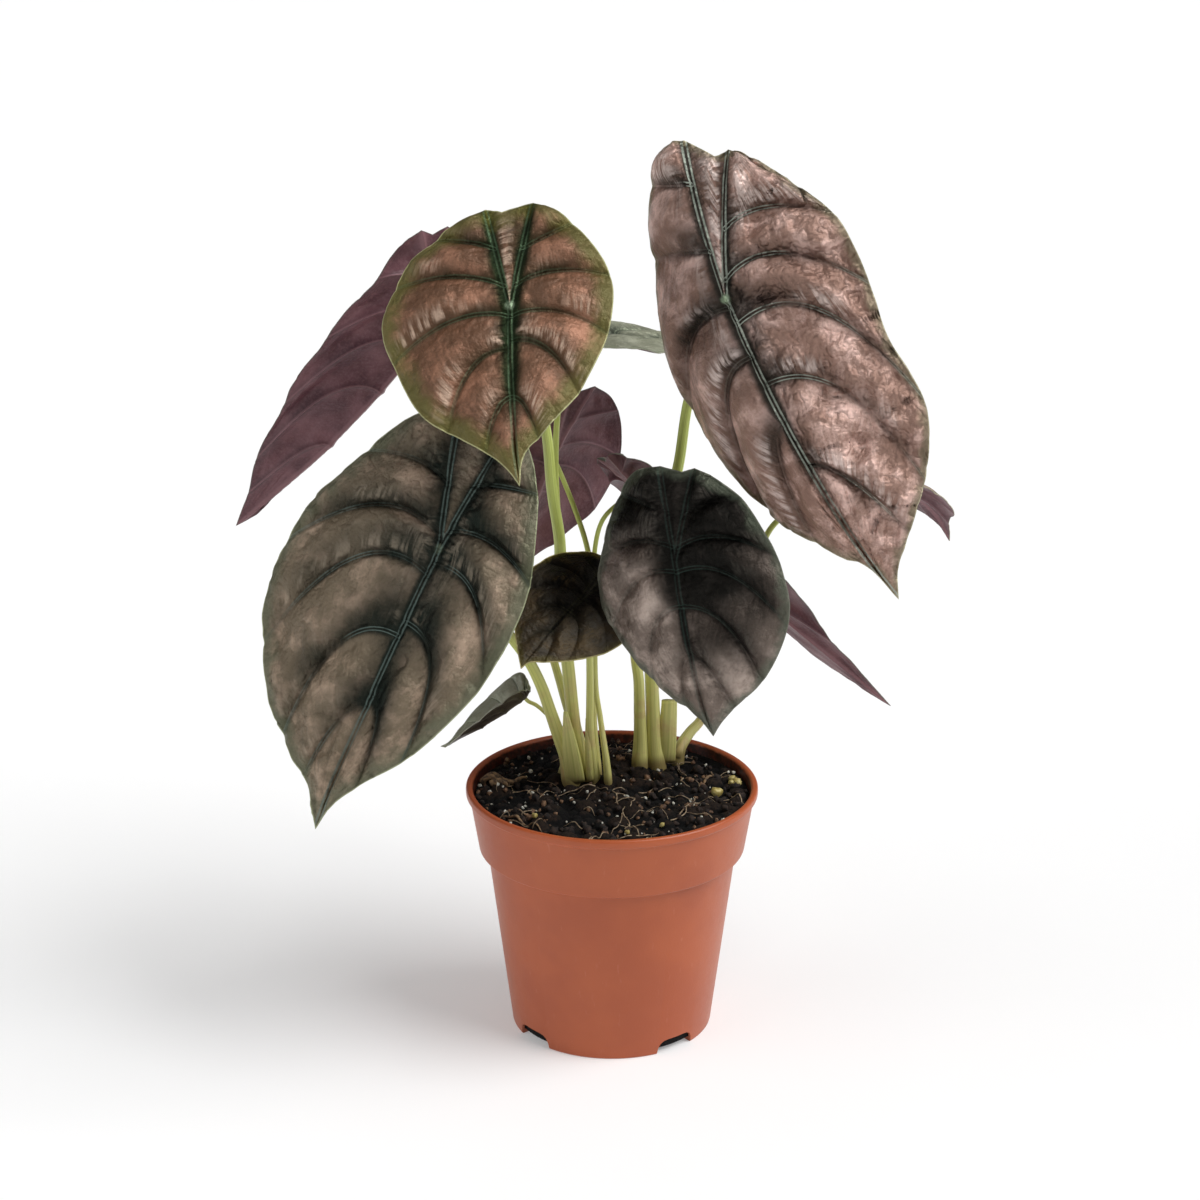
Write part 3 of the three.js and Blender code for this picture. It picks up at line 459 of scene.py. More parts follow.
def bend(start_angle, k, s):
    """Length along and rise of a curve that starts at an angle and bends by k per millimetre."""
    if abs(k) < 1e-7:
        return s * math.cos(start_angle), s * math.sin(start_angle)
    turned = start_angle + k * s
    return (np.sin(turned) - math.sin(start_angle)) / k, (math.cos(start_angle) - np.cos(turned)) / k


def leaf_axes(leaf):
    h, d, r = np.radians(leaf["turn"])
    tip = np.array([math.cos(d) * math.cos(h), math.cos(d) * math.sin(h), -math.sin(d)])
    upright = np.array([math.sin(d) * math.cos(h), math.sin(d) * math.sin(h), math.cos(d)])
    normal = upright * math.cos(r) + np.cross(tip, upright) * math.sin(r)
    return np.cross(tip, normal), tip, normal


def blade_points(leaf, flat, dz):
    """Points of the bent blade at flat (x, y), dz above it, and the blade's normals there."""
    left, tip, normal = leaf_axes(leaf)
    x, y = flat[:, 0], flat[:, 1]
    point = np.zeros((len(x), 3))
    slope_normal = np.zeros((len(x), 3))
    for side in (0, 1):
        for ahead in (1, -1):
            here = ((x >= 0) == (side == 0)) & ((y >= 0) == (ahead == 1))
            sign = SIDE_SIGN[side]
            arch, reach = (leaf["arch"], leaf["length"]) if ahead == 1 else (leaf["lobe_arch"], leaf["lobe"])
            k = -math.radians(arch) / reach
            run, rise = bend(0, k, np.abs(y[here]))
            lean = k * np.abs(y[here]) * ahead
            fold = math.radians(leaf["fold"][side])
            curl = -math.radians(leaf["curl"][side]) / leaf["halves"][side]
            out, up = bend(fold, curl, np.abs(x[here]))
            slope = fold + curl * np.abs(x[here])
            nx, nz = -np.sin(slope) * sign, np.cos(slope)
            cx, cz = out * sign + dz[here] * nx, up + dz[here] * nz
            point[here] = (
                np.outer(cx, left) + np.outer(run * ahead - cz * np.sin(lean), tip)
                + np.outer(rise + cz * np.cos(lean), normal)
            )
            slope_normal[here] = (
                np.outer(nx, left) + np.outer(-nz * np.sin(lean), tip) + np.outer(nz * np.cos(lean), normal)
            )
    return np.asarray(leaf["at"]) + point, slope_normal


def basal_end(leaf, side):
    x, y = leaf["basal"][side] if "basal" in leaf else (PLAIN_BASAL * leaf["halves"][side], -leaf["lobe"])
    return np.array([SIDE_SIGN[side] * x, y], float)


def notch_point(leaf):
    """Where the margins of the two lobes meet, behind the junction."""
    return np.array(leaf.get("notch", (0, -leaf["lobe"] * PLAIN_NOTCH)), float)


def margin(leaf, side):
    """The margin of a half blade from its lobe end to the tip."""
    sign = SIDE_SIGN[side]
    if "outlines" in leaf:
        outline = leaf["outlines"][side]
    else:
        outline = [
            (a * leaf["halves"][side], b * (leaf["lobe"] if b < 0 else leaf["length"])) for a, b in PLAIN_HALF
        ]
    tip = (leaf["tip_shift"], leaf["length"])
    return catmull_rom([basal_end(leaf, side), *((sign * x, y) for x, y in outline), tip], 24)


def axis_points(leaf, side, shares):
    """Points of the basal vein (share < 0) or of the midrib (share > 0)."""
    s = np.asarray(shares, float)[:, None]
    midrib = np.hstack([leaf["tip_shift"] * s * s, leaf["length"] * s])
    return np.where(s >= 0, midrib, basal_end(leaf, side) * -s)


def vein_start(leaf, side, rows):
    return np.interp(rows, VEIN_NUMBERS, leaf["starts"][side] if "starts" in leaf else VEIN_STARTS)


def half_grid(leaf, side, rows, columns):
    """Points of a half blade: rows follow the side veins, columns run from the axis to the margin."""
    sign = SIDE_SIGN[side]
    start = axis_points(leaf, side, vein_start(leaf, side, rows))
    ends = leaf["ends"][side] if "ends" in leaf else VEIN_ENDS
    end = along(margin(leaf, side), np.interp(rows, VEIN_NUMBERS, ends))
    angle = np.radians(np.interp(rows, VEIN_NUMBERS, VEIN_ANGLES))
    reach = np.linalg.norm(end - start, axis=1) * np.interp(rows, VEIN_NUMBERS, VEIN_BOWS)
    middle = start + np.stack([sign * np.sin(angle), np.cos(angle)], -1) * reach[:, None]
    t = np.asarray(columns)[None, :, None]
    return (1 - t) ** 2 * start[:, None] + 2 * t * (1 - t) * middle[:, None] + t**2 * end[:, None]


def crowded(count, crowding):
    """Numbers from 0 to 1, closer together at both ends."""
    u = np.linspace(0, 1, count + 1)
    return u - crowding * np.sin(2 * math.pi * u) / (2 * math.pi)


def row_numbers(per_vein):
    panel = crowded(per_vein, 0.8)[:-1]
    rows = np.concatenate([*(vein + panel for vein in range(6)), [6.0]])
    rows[np.abs(rows - JUNCTION).argmin()] = JUNCTION
    return rows


def quilting(leaf, row, share):
    """Height of the panels between side veins, highest past their middle, lower at the margin."""
    panel = np.sin(math.pi * np.mod(row, 1) ** QUILT_SKEW) ** QUILT_PUFF * np.clip(6 - row, 0, 1)
    across = np.sin(math.pi * share) + QUILT_AT_MARGIN * share**2
    return QUILT_RELIEF * leaf["quilt"] * panel * across


def vein_distances(leaf, flat):
    """Distances to the side veins, to the midrib and basal veins and to the margin, in millimetres."""
    side_vein = np.full(len(flat), np.inf)
    taper = np.zeros(len(flat))
    for side in (0, 1):
        for line in half_grid(leaf, side, np.array(SIDE_VEINS, float), np.linspace(0, 1, 25)):
            gap, share = distance_to(flat, line)
            nearer = gap < side_vein
            side_vein[nearer] = gap[nearer]
            taper[nearer] = share[nearer]
    rib, rib_share = distance_to(flat, axis_points(leaf, 0, np.linspace(0, 1, 40)))
    for side in (0, 1):
        gap, share = distance_to(flat, axis_points(leaf, side, [0, -1]))
        rib_share = np.where(gap < rib, -share, rib_share)
        rib = np.minimum(rib, gap)
    left, right = margin(leaf, 0), margin(leaf, 1)
    edge, _ = distance_to(flat, np.vstack([left, right[::-1], [notch_point(leaf)], left[:1]]))
    return side_vein, taper, rib, rib_share, edge


def by_side(flat, pair):
    """The first of two values on a blade's left half and the second on its right half."""
    return np.where(flat[:, 0] >= 0, pair[0], pair[1])


def ripples(waves, wobble):
    """Fine even waves, counted by the first value and pushed along by the second."""
    return np.sin(2 * math.pi * (waves + 0.8 * wobble))


def groove(distance, line_height, line_width, depth, width):
    """A groove with a raised line along its bottom."""
    return line_height * mound(distance, line_width) - depth * mound(distance, width)


def leaf_relief(leaf, looks, flat, row, share, veins, seed):
    """Height of the upper face over the bent blade: quilted panels, sunken veins, puckers, creases."""
    side_vein, taper, rib, rib_share = veins
    scale = leaf["quilt"] / FULL_QUILT
    height = quilting(leaf, row, share)
    inside = smoothstep(0, 6, rib) * smoothstep(0, 3.5, side_vein)
    pucker = scale * inside * by_side(flat, looks["pucker"])
    ribbed = np.stack([share * max(leaf["halves"]) / 6, row * 1.6], -1)
    puckers = 0.7 * noise(flat, 12, seed) + 0.45 * noise(flat, 5, seed + 1) + 0.5 * noise(ribbed, 1, seed + 5)
    crease = (1 - np.abs(noise(flat, 12, seed + 2))) ** 12
    height += pucker * puckers
    height -= CREASE_DEPTH * pucker * crease

    # Fine ripples run out from the side veins and from the ribs.
    comb = ripples(share * RIPPLES_PER_VEIN, noise(flat, 12, seed + 3))
    near_vein = smoothstep(0, 3, rib) * smoothstep(0.5, 2.5, side_vein) * smoothstep(9, 3, side_vein)
    height += scale * VEIN_RIPPLE * comb * near_vein
    comb = ripples(rib_share * leaf["length"] / RIPPLE_SPACING, noise(flat, 10, seed + 4))
    height += scale * RIB_RIPPLE * comb * smoothstep(0.8, 3, rib) * smoothstep(9, 4, rib)

    # Side veins fade towards the margin, and the ribs towards their ends.
    fade = 1 - 0.8 * taper
    height += fade * scale * groove(side_vein, *VEIN_GROOVE)
    thinning = 1 - 0.95 * smoothstep(0.1, 0.85, np.abs(rib_share))
    height += thinning * scale * groove(rib, *RIB_GROOVE)
    return height + looks["knob"] * scale * mound(np.hypot(flat[:, 0], flat[:, 1]), 1.8)


def dark_zone(leaf, looks, flat, row, share, middle, veins, seed):
    """Share of painted shade, together with the leaf's own dark green near its veins: broad on a side vein's
    lobe side, narrow on its tip side, and along the ribs.
    """
    side_vein, taper, rib, rib_share = veins
    scale = max(0.45, leaf["quilt"] / FULL_QUILT)
    phase = np.mod(row, 1)
    start, *strengths = looks["band"]
    strength = by_side(flat, strengths)
    panel_number = np.floor(row).astype(int) + np.where(flat[:, 0] >= 0, 0, 6)
    of_panel = np.random.default_rng(seed).uniform(0.75, 1.05, 13)[panel_number]
    band = np.maximum(smoothstep(start, 1, phase) * (row < 5), smoothstep(0.12, 0, phase) * (row > 0.5))
    band *= strength * of_panel * (1 - 0.45 * share) * (1 + 0.3 * noise(flat, 15, seed + 6))

    beside = looks["beside"] * mound(side_vein, 1.4 * scale) * (1 - 0.6 * taper)
    reach, strength = by_side(flat, looks["rib_reach"]), by_side(flat, looks["rib_shade"])
    ribs = strength * smoothstep(1, 0, share / reach) * (0.9 + 0.25 * noise(flat, 11, seed + 7))
    ribs *= (1 - smoothstep(0.55, 0.95, rib_share)) * (1 - 0.6 * smoothstep(3.5, 5.2, row))
    along_rib = mound(rib, scale * looks["rib_width"] * (1 - 0.65 * np.abs(rib_share)))
    along_rib *= 1 - smoothstep(0.35, 0.9, rib_share)
    # Painted shadow of the leaves above, laid over the lobes.
    lobes = looks["lobe_shade"] * smoothstep(0.25, -0.45, flat[:, 1] / leaf["length"])

    zone = 1 - (1 - np.clip(band, 0, 1)) * (1 - np.clip(ribs, 0, 1)) * (1 - lobes)
    zone = np.maximum(zone, np.maximum(beside, along_rib)) * (1 - looks["strip_glow"] * middle**2)
    # Painted shade along both sides of the strip's middle.
    strip_sides = 0.45 * smoothstep(0, 0.2, middle) * (middle < 0.95)
    return np.maximum(zone, strip_sides)


def painted_highlights(looks, flat, row, middle, veins, seed):
    """Share of painted highlight strokes: up from a side vein on its lobe side, and a painted highlight
    stripe along the strip.
    """
    side_vein, _, rib, rib_share = veins
    phase = np.mod(row, 1)
    patch = smoothstep(-0.3, 0.5, noise(flat, 16, seed + 8))
    near = smoothstep(1.2, 2.6, side_vein) * smoothstep(10, 3, side_vein)
    strokes = looks["painted_highlights"] * patch * near * smoothstep(0.5, 0.75, phase) * smoothstep(1.5, 5, rib)
    beside_rib = smoothstep(3, 6, rib) * smoothstep(14, 7, rib) * smoothstep(0.3, -0.1, rib_share)
    strokes = np.maximum(strokes, looks["painted_highlights"] * patch * beside_rib)
    return np.maximum(strokes, smoothstep(0.4, 0.9, looks["strip_glow"]) * smoothstep(0.75, 1, middle))


def lay_out(leaf, per_vein, columns):
    """A flat blade: faces, and each vertex's place, row, share, and height and middle of the strip."""
    rows, shares = row_numbers(per_vein), crowded(columns, 0.75)
    junction_row, last = int(np.flatnonzero(rows == JUNCTION)[0]), len(rows) - 1
    vertices, faces = [], []

    def add(point, row, share, height=0, middle=0):
        vertices.append((*point, row, share, height, middle))
        return len(vertices) - 1

    def add_quads(lines, order):
        for near, far in zip(lines, lines[1:]):
            for j in range(len(near) - 1):
                quad = (near[j], near[j + 1], far[j + 1], far[j])
                corners = list(dict.fromkeys(quad[i] for i in order))
                if len(corners) > 2:
                    faces.append(corners)

    halves = []
    tip = add(axis_points(leaf, 0, [1])[0], 6, 0)
    for side in (0, 1):
        grid = half_grid(leaf, side, rows, shares)
        lines = [[add(grid[0, 0], 0, 0)] * (columns + 1)]
        for k in range(1, last):
            lines.append([add(grid[k, j], rows[k], shares[j]) for j in range(columns + 1)])
            if side == 1 and k >= junction_row:
                lines[k][0] = halves[0][k][0]
        lines.append([tip] * (columns + 1))
        halves.append(lines)
        add_quads(lines, (0, 1, 2, 3) if side == 0 else (3, 2, 1, 0))

    # The strip between the two basal veins, out to the notch.
    notch = notch_point(leaf)
    strip = []
    for k in range(junction_row):
        line = [halves[0][k][0]]
        starts = [-vein_start(leaf, side, rows[k]) for side in (0, 1)]
        share = sum(starts) / 2
        for t in np.arange(1, STRIP_COLUMNS) / STRIP_COLUMNS:
            side = 0 if t < 0.5 else 1
            vein = basal_end(leaf, side) * starts[side]
            mix = 2 * min(t, 1 - t)
            middle = math.sin(math.pi * t)
            point = vein * (1 - mix) + notch * share * mix
            line.append(add(point, 0, 0, leaf["strip"] * share * middle, middle))
        strip.append([*line, halves[1][k][0]])
    strip.append([halves[0][junction_row][0]] * (STRIP_COLUMNS + 1))
    add_quads(strip, (0, 3, 2, 1))

    # Vertices of the right half that gave way to shared ones are dropped.
    used = np.unique([v for face in faces for v in face])
    new_number = np.full(len(vertices), -1)
    new_number[used] = np.arange(len(used))
    faces = [[int(new_number[v]) for v in face] for face in faces]
    x, y, *of_vertex = np.array(vertices, float)[used].T
    return faces, np.stack([x, y], -1), *of_vertex


def build_leaf(name, leaf, looks, per_vein, columns, materials, seed):
    """A blade as two relief faces and a thin rim, with what its materials need stored on it."""
    faces, flat, row, share, strip_height, strip_middle = lay_out(leaf, per_vein, columns)
    side_vein, taper, rib, rib_share, edge = vein_distances(leaf, flat)
    veins = (side_vein, taper, rib, rib_share)
    height = leaf_relief(leaf, looks, flat, row, share, veins, seed) + strip_height
    middle, normal = blade_points(leaf, flat, height)
    half = BLADE_THICKNESS / 2 * (0.5 + 0.5 * smoothstep(0, 2.5, edge))
    scale = max(0.5, leaf["quilt"] / FULL_QUILT)
    ridge = RIB_RIDGE[0] * scale * (1 - 0.8 * np.abs(rib_share)) * mound(rib, RIB_RIDGE[1] * scale)
    ridge += VEIN_RIDGE[0] * scale * (1 - 0.8 * taper) * mound(side_vein, VEIN_RIDGE[1] * scale)
    upper = middle + normal * half[:, None]
    under = middle - normal * (half + ridge * smoothstep(0, 1.5, edge))[:, None]
    count = len(flat)

    # The rim closes the blade along the edges that only one face has.
    edges = dict.fromkeys(pair for face in faces for pair in zip(face, face[1:] + face[:1]))
    rim = [(a, b) for a, b in edges if (b, a) not in edges]
    all_faces = [*faces, *([v + count for v in reversed(face)] for face in faces)]
    all_faces += [[b, a, a + count, b + count] for a, b in rim]
    points = np.vstack([upper, under])
    piece = add_mesh("leaf_" + name, points, all_faces, materials, ["blade_" + name])
    mesh = piece.data
    index = np.zeros(len(mesh.polygons), np.int32)
    index[len(faces):2 * len(faces)] = 1
    mesh.polygons.foreach_set("material_index", index)
    for key, values in (
        ("side_vein", side_vein), ("rib", rib), ("edge", edge), ("vein_row", row), ("vein_share", share),
        ("taper", taper), ("rib_share", rib_share),
        ("knob", looks["knob"] * smoothstep(2.4, 1, np.hypot(flat[:, 0], flat[:, 1]))),
        ("rib_line", np.full(len(flat), looks["rib_line"])), ("pucker", by_side(flat, looks["pucker"])),
        ("zone", dark_zone(leaf, looks, flat, row, share, strip_middle, veins, seed)),
        ("painted_highlight", painted_highlights(looks, flat, row, strip_middle, veins, seed)),
        ("line", by_side(flat, looks["lines"]) * smoothstep(-0.6, 0.1, noise(flat, 18, seed + 9))),
    ):
        store(mesh, key, np.concatenate([values, values]))


# Stalks

def transport_frames(line):
    """Two cross directions that turn as little as possible along the line."""
    tangents = np.gradient(line, axis=0)
    tangents /= np.linalg.norm(tangents, axis=1, keepdims=True)
    across = np.cross(tangents[0], (0, 1, 0))
    firsts = []
    for tangent in tangents:
        across = across - tangent * (across @ tangent)
        across /= np.linalg.norm(across)
        firsts.append(across)
    firsts = np.array(firsts)
    return firsts, np.cross(tangents, firsts)


def tube_faces(rings, sides):
    """Side faces and two end caps over rings of vertices."""
    faces = []
    for i in range(rings - 1):
        for k in range(sides):
            a, b = i * sides + k, i * sides + (k + 1) % sides
            faces.append([a, b, b + sides, a + sides])
    faces.append(list(range(sides))[::-1])
    faces.append([(rings - 1) * sides + k for k in range(sides)])
    return faces


def tube(line, radius, sides):
    """Vertices and faces of a closed round tube along a line, its radius given for each point."""
    first, second = transport_frames(line)
    turn = turns(sides)
    ring = np.cos(turn)[None, :, None] * first[:, None] + np.sin(turn)[None, :, None] * second[:, None]
    points = (line[:, None] + ring * np.asarray(radius)[:, None, None]).reshape(-1, 3)
    return points, tube_faces(len(line), sides)


def stalk_line(name, per_span):
    stalk, leaf = STALKS[name], LEAVES[name]
    x, y = stalk["foot"]
    normal = leaf_axes(leaf)[2]
    junction = np.asarray(leaf["at"], float)
    surface = soil_height(x, y) + 1
    points = [
        (x, y, STALK_FOOT_Z), (x, y, (STALK_FOOT_Z + SOIL_EDGE_Z) / 2), (x, y, surface), *stalk["points"],
        junction - normal * STALK_NECK, junction - normal * 0.6,
    ]
    return catmull_rom(points, per_span)


def build_stalk(name, material):
    """A stalk swollen at its foot, with a sheath on the ones that have it."""
    line = stalk_line(name, 8)
    lengths = lengths_along(line)
    t = lengths / lengths[-1]
    swelling = 1 + 0.3 * np.exp(-(np.clip(line[:, 2] - SOIL_EDGE_Z, 0, None) / 14) ** 2)
    radius = np.interp(t, [0, STALK_MIDDLE, 1], STALKS[name]["radii"]) * swelling
    points, faces = tube(line, radius, STALK_SIDES)
    height = np.repeat(line[:, 2], STALK_SIDES)
    around = np.tile(np.abs(np.arange(STALK_SIDES) / STALK_SIDES * 2 - 1), len(line))
    if "sheath" in STALKS[name]:
        sheath = build_sheath(**STALKS[name]["sheath"])
        points, faces = join([(points, faces), sheath])
        height = np.concatenate([height, sheath[0][:, 2]])
        half_turns = np.abs(np.linspace(-1, 1, SHEATH_SIDES))
        around = np.concatenate([around, np.tile(half_turns, SHEATH_STEPS + 1)])
    piece = add_mesh("stalk_" + name, points, faces, [material], ["petiole_" + name])
    store(piece.data, "height", (height - SOIL_EDGE_Z) / STALK_REACH)
    store(piece.data, "around", around)


def build_sheath(start, end, width, thickness, tip):
    """A narrowing scale that lies on the stalk's foot and ends free; tip is what is left of its width."""
    t = np.linspace(0, 1, SHEATH_STEPS + 1)
    bulge = 1.2 * np.sin(math.pi * t) * np.array([[0], [-1], [0]])
    line = np.outer(1 - t, start) + np.outer(t, end) + bulge.T
    narrowing = 1 - (1 - tip) * t**2
    tangent = np.subtract(end, start) / np.linalg.norm(np.subtract(end, start))
    across = np.array([1.0, 0, 0]) - tangent * tangent[0]
    across /= np.linalg.norm(across)
    turn = turns(SHEATH_SIDES)
    ring = np.outer(np.cos(turn), across) * width
    ring = ring + np.outer(np.sin(turn), np.cross(tangent, across)) * thickness
    points = (line[:, None] + narrowing[:, None, None] * ring[None]).reshape(-1, 3)
    return points, tube_faces(SHEATH_STEPS + 1, SHEATH_SIDES)


# Pot and soil

def soil_height(x, y):
    share = np.minimum(1, (np.square(x) + np.square(y)) / COLLAR_FOOT_RADIUS**2)
    return SOIL_EDGE_Z + SOIL_MOUND * (1 - share)


def wall_radius(z):
    return BASE_RADIUS + (WALL_TOP_RADIUS - BASE_RADIUS) * z / COLLAR_FOOT_Z


def rounded(profile, corner_steps):
    """The profile with each marked corner (r, z, radius) replaced by a short arc."""
    out = []
    p = [np.array(c[:2], float) for c in profile]
    for i, corner in enumerate(profile):
        size = corner[2] if len(corner) > 2 else 0
        if not size:
            out.append(p[i])
            continue
        before, after = p[i - 1] - p[i], p[i + 1] - p[i]
        a = p[i] + before / np.linalg.norm(before) * size
        b = p[i] + after / np.linalg.norm(after) * size
        for t in np.linspace(0, 1, corner_steps + 1):
            out.append((1 - t) ** 2 * a + 2 * t * (1 - t) * p[i] + t**2 * b)
    return out


def turned_faces(rings, sides):
    """Faces of a closed turned body: a first point, rings of vertices around the axis, a last point."""
    faces = []
    top = 1 + (rings - 1) * sides
    for k in range(sides):
        n = (k + 1) % sides
        faces.append([0, 1 + n, 1 + k])
        for a in range(1, top, sides):
            faces.append([a + k, a + n, a + sides + n, a + sides + k])
        faces.append([top + k, top + n, top + sides])
    return faces


def lathe(profile, sectors):
    """Vertices and faces of a turned body whose profile starts and ends on the axis."""
    points = [(0, 0, profile[0][1])]
    for r, z in profile[1:-1]:
        points += [(r * math.sin(a), -r * math.cos(a), z) for a in turns(sectors)]
    points.append((0, 0, profile[-1][1]))
    return points, turned_faces(len(profile) - 2, sectors)


def build_pot(material):
    lip_z = POT_HEIGHT - RIM_DEPTH
    profile = rounded([
        (0, 0), (BASE_RADIUS, 0, 0.8), (wall_radius(COLLAR_FOOT_Z), COLLAR_FOOT_Z, 0.5),
        (COLLAR_FOOT_RADIUS, COLLAR_FOOT_Z + COLLAR_STEP, 0.9), (COLLAR_TOP_RADIUS, lip_z, 0.5),
        (RIM_RADIUS, lip_z + RIM_ROUND, 0.7), (RIM_RADIUS, POT_HEIGHT - RIM_ROUND / 2, 0.8),
        (RIM_RADIUS - RIM_ROUND, POT_HEIGHT, 0.3),
        (COLLAR_TOP_RADIUS - POT_WALL + RIM_ROUND, POT_HEIGHT, 0.5),
        (COLLAR_TOP_RADIUS - POT_WALL, POT_HEIGHT - RIM_ROUND, 0.5),
        (COLLAR_FOOT_RADIUS - POT_WALL, COLLAR_FOOT_Z + COLLAR_STEP + POT_WALL),
        (WALL_TOP_RADIUS - POT_WALL, COLLAR_FOOT_Z - COLLAR_STEP),
        (wall_radius(POT_FLOOR) - POT_WALL, POT_FLOOR), (0, POT_FLOOR),
    ], 4)
    points, faces = lathe(profile, POT_SECTORS)
    pot = add_mesh("pot_body", points, faces, [material], ["pot"])
    arch = [(1, -0.4), (1, 0.1), (0.97, 0.45), (0.86, 0.78), (0.68, 0.95), (0.45, 1)]
    outline = [(a * NOTCH_HALF_WIDTH, b * NOTCH_HEIGHT) for a, b in arch]
    outline += [(-a, b) for a, b in reversed(outline)]
    for i in range(NOTCH_COUNT):
        turn = 2 * math.pi * (i + 0.5) / NOTCH_COUNT + math.radians(NOTCH_TURN)
        out = np.array([math.sin(turn), -math.cos(turn), 0])
        across = np.array([math.cos(turn), math.sin(turn), 0])
        corners = [out * r + across * a + np.array([0, 0, b])
                   for r in (NOTCH_INNER_RADIUS, NOTCH_OUTER_RADIUS) for a, b in outline]
        subtract(pot, add_plain_mesh("notch", corners, tube_faces(2, len(outline))))
    pot.data.shade_smooth()
    pot.data.set_sharp_from_angle(angle=math.radians(50))


def crumb_height(x, y, rng):
    """Crumbs of potting mix: overlapping rounded lumps of many sizes, in millimetres."""
    height = np.zeros(x.shape)
    for size, count in CRUMBS:
        reach = CRUMB_REACH * np.sqrt(rng.uniform(0, 1, count))
        turn = rng.uniform(0, 2 * math.pi, count)
        cx, cy = reach * np.cos(turn), reach * np.sin(turn)
        radius = size * rng.uniform(0.6, 1.1, count)
        stand = rng.uniform(0.5, 1.0, count)
        for a, b, r, up in zip(cx, cy, radius, stand):
            near = (np.abs(x - a) < r) & (np.abs(y - b) < r)
            d2 = ((x[near] - a) ** 2 + (y[near] - b) ** 2) / r**2
            lump = up * r * np.sqrt(np.clip(1 - d2, 0, None))
            height[near] = np.maximum(height[near], lump)
    return height


def build_soil(material):
    """The crumbly soil; returns a function that gives the height of its top at a place."""
    rng = np.random.default_rng(SOIL_SEED)
    floor_z = POT_FLOOR + FIT_GAP
    inset = POT_WALL + FIT_GAP
    foot_z = COLLAR_FOOT_Z + COLLAR_STEP + POT_WALL + FIT_GAP
    foot_radius = COLLAR_FOOT_RADIUS - inset
    collar_height = POT_HEIGHT - RIM_ROUND - COLLAR_FOOT_Z - COLLAR_STEP - POT_WALL
    slope = (COLLAR_TOP_RADIUS - COLLAR_FOOT_RADIUS) / collar_height
    top_radius = foot_radius + slope * (SOIL_EDGE_Z - foot_z)
    turn = turns(SOIL_SECTORS)
    reach = top_radius * np.linspace(1, 1 / SOIL_RINGS, SOIL_RINGS)
    x = np.outer(reach, np.sin(turn))
    y = -np.outer(reach, np.cos(turn))
    lumps = crumb_height(x, y, rng)
    spots = np.stack([x.ravel(), y.ravel()], -1)
    rolling = sum(height * noise(spots, width, seed) for height, width, seed in ROLLING).reshape(x.shape)
    edge = smoothstep(0, 2.5, top_radius - np.hypot(x, y))
    z = soil_height(x, y) + (lumps + rolling - CRUMB_SINK) * edge
    points = [(0, 0, floor_z)]
    for r, h in ((wall_radius(POT_FLOOR) - inset, floor_z),
                 (WALL_TOP_RADIUS - inset, COLLAR_FOOT_Z - COLLAR_STEP), (foot_radius, foot_z)):
        points += [(r * math.sin(a), -r * math.cos(a), h) for a in turn]
    points += np.stack([x, y, z], -1).reshape(-1, 3).tolist()
    points.append((0, 0, float(z[-1].mean())))
    piece = add_mesh(
        "potting_mix", points, turned_faces(SOIL_RINGS + 3, SOIL_SECTORS), [material], ["soil"]
    )
    crumb = np.zeros(len(points))
    first = 1 + 3 * SOIL_SECTORS
    crumb[first:first + lumps.size] = (lumps + rolling).ravel()
    store(piece.data, "crumb", crumb)

    def top_at(px, py):
        ring = np.round((1 - np.hypot(px, py) / top_radius) * SOIL_RINGS)
        sector = np.round(np.arctan2(px, -np.asarray(py, float)) / (2 * math.pi) * SOIL_SECTORS)
        return z[int(np.clip(ring, 0, SOIL_RINGS - 1)), int(sector) % SOIL_SECTORS]
    return top_at


def grain(centre, size, rng):
    """A lumpy pebble-like grain; size gives its half lengths."""
    rings, sectors = 6, 10
    up = np.linspace(0, math.pi, rings + 2)[1:-1]
    turn = turns(sectors)
    ball = [(0, 0, 1)]
    ball += [(math.sin(a) * math.cos(b), math.sin(a) * math.sin(b), math.cos(a)) for a in up for b in turn]
    ball.append((0, 0, -1))
    ball = np.array(ball)
    lumpy = 1 + 0.16 * np.sin(3.1 * ball @ rng.normal(size=(3, 3)) + rng.uniform(0, 6, 3)).sum(axis=1)
    axis = rng.normal(size=3)
    axis /= np.linalg.norm(axis)
    angle = rng.uniform(0, math.pi)
    cross = np.array([[0, -axis[2], axis[1]], [axis[2], 0, -axis[0]], [-axis[1], axis[0], 0]])
    turned = np.eye(3) + math.sin(angle) * cross + (1 - math.cos(angle)) * cross @ cross
    points = (ball * lumpy[:, None] * size) @ turned.T + centre
    # The ball starts at its top, so its faces run the other way round.
    return points, [face[:1] + face[:0:-1] for face in turned_faces(rings, sectors)]


def join(parts):
    """Vertices and faces of several bodies in one mesh."""
    points, faces = [], []
    count = 0
    for some, their_faces in parts:
        faces += [[v + count for v in face] for face in their_faces]
        points.append(some)
        count += len(some)
    return np.vstack(points), faces


def soil_place(rng, outer=BITS_REACH):
    """A random place on the soil, clear of the stalks."""
    while True:
        reach, turn = outer * math.sqrt(rng.uniform(0, 1)), rng.uniform(0, 2 * math.pi)
        x, y = reach * math.cos(turn), reach * math.sin(turn)
        if all(math.dist((x, y), stalk["foot"]) > STALK_CLEARANCE for stalk in STALKS.values()):
            return x, y


def scatter_grains(top_at, rng, count, smallest, largest):
    parts = []
    for _ in range(count):
        x, y = soil_place(rng)
        half = rng.uniform(smallest, largest) * rng.uniform(0.6, 1)
        size = half * rng.uniform(0.65, 1.1, 3)
        parts.append(grain((x, y, float(top_at(x, y)) + 0.35 * half), size, rng))
    return join(parts)


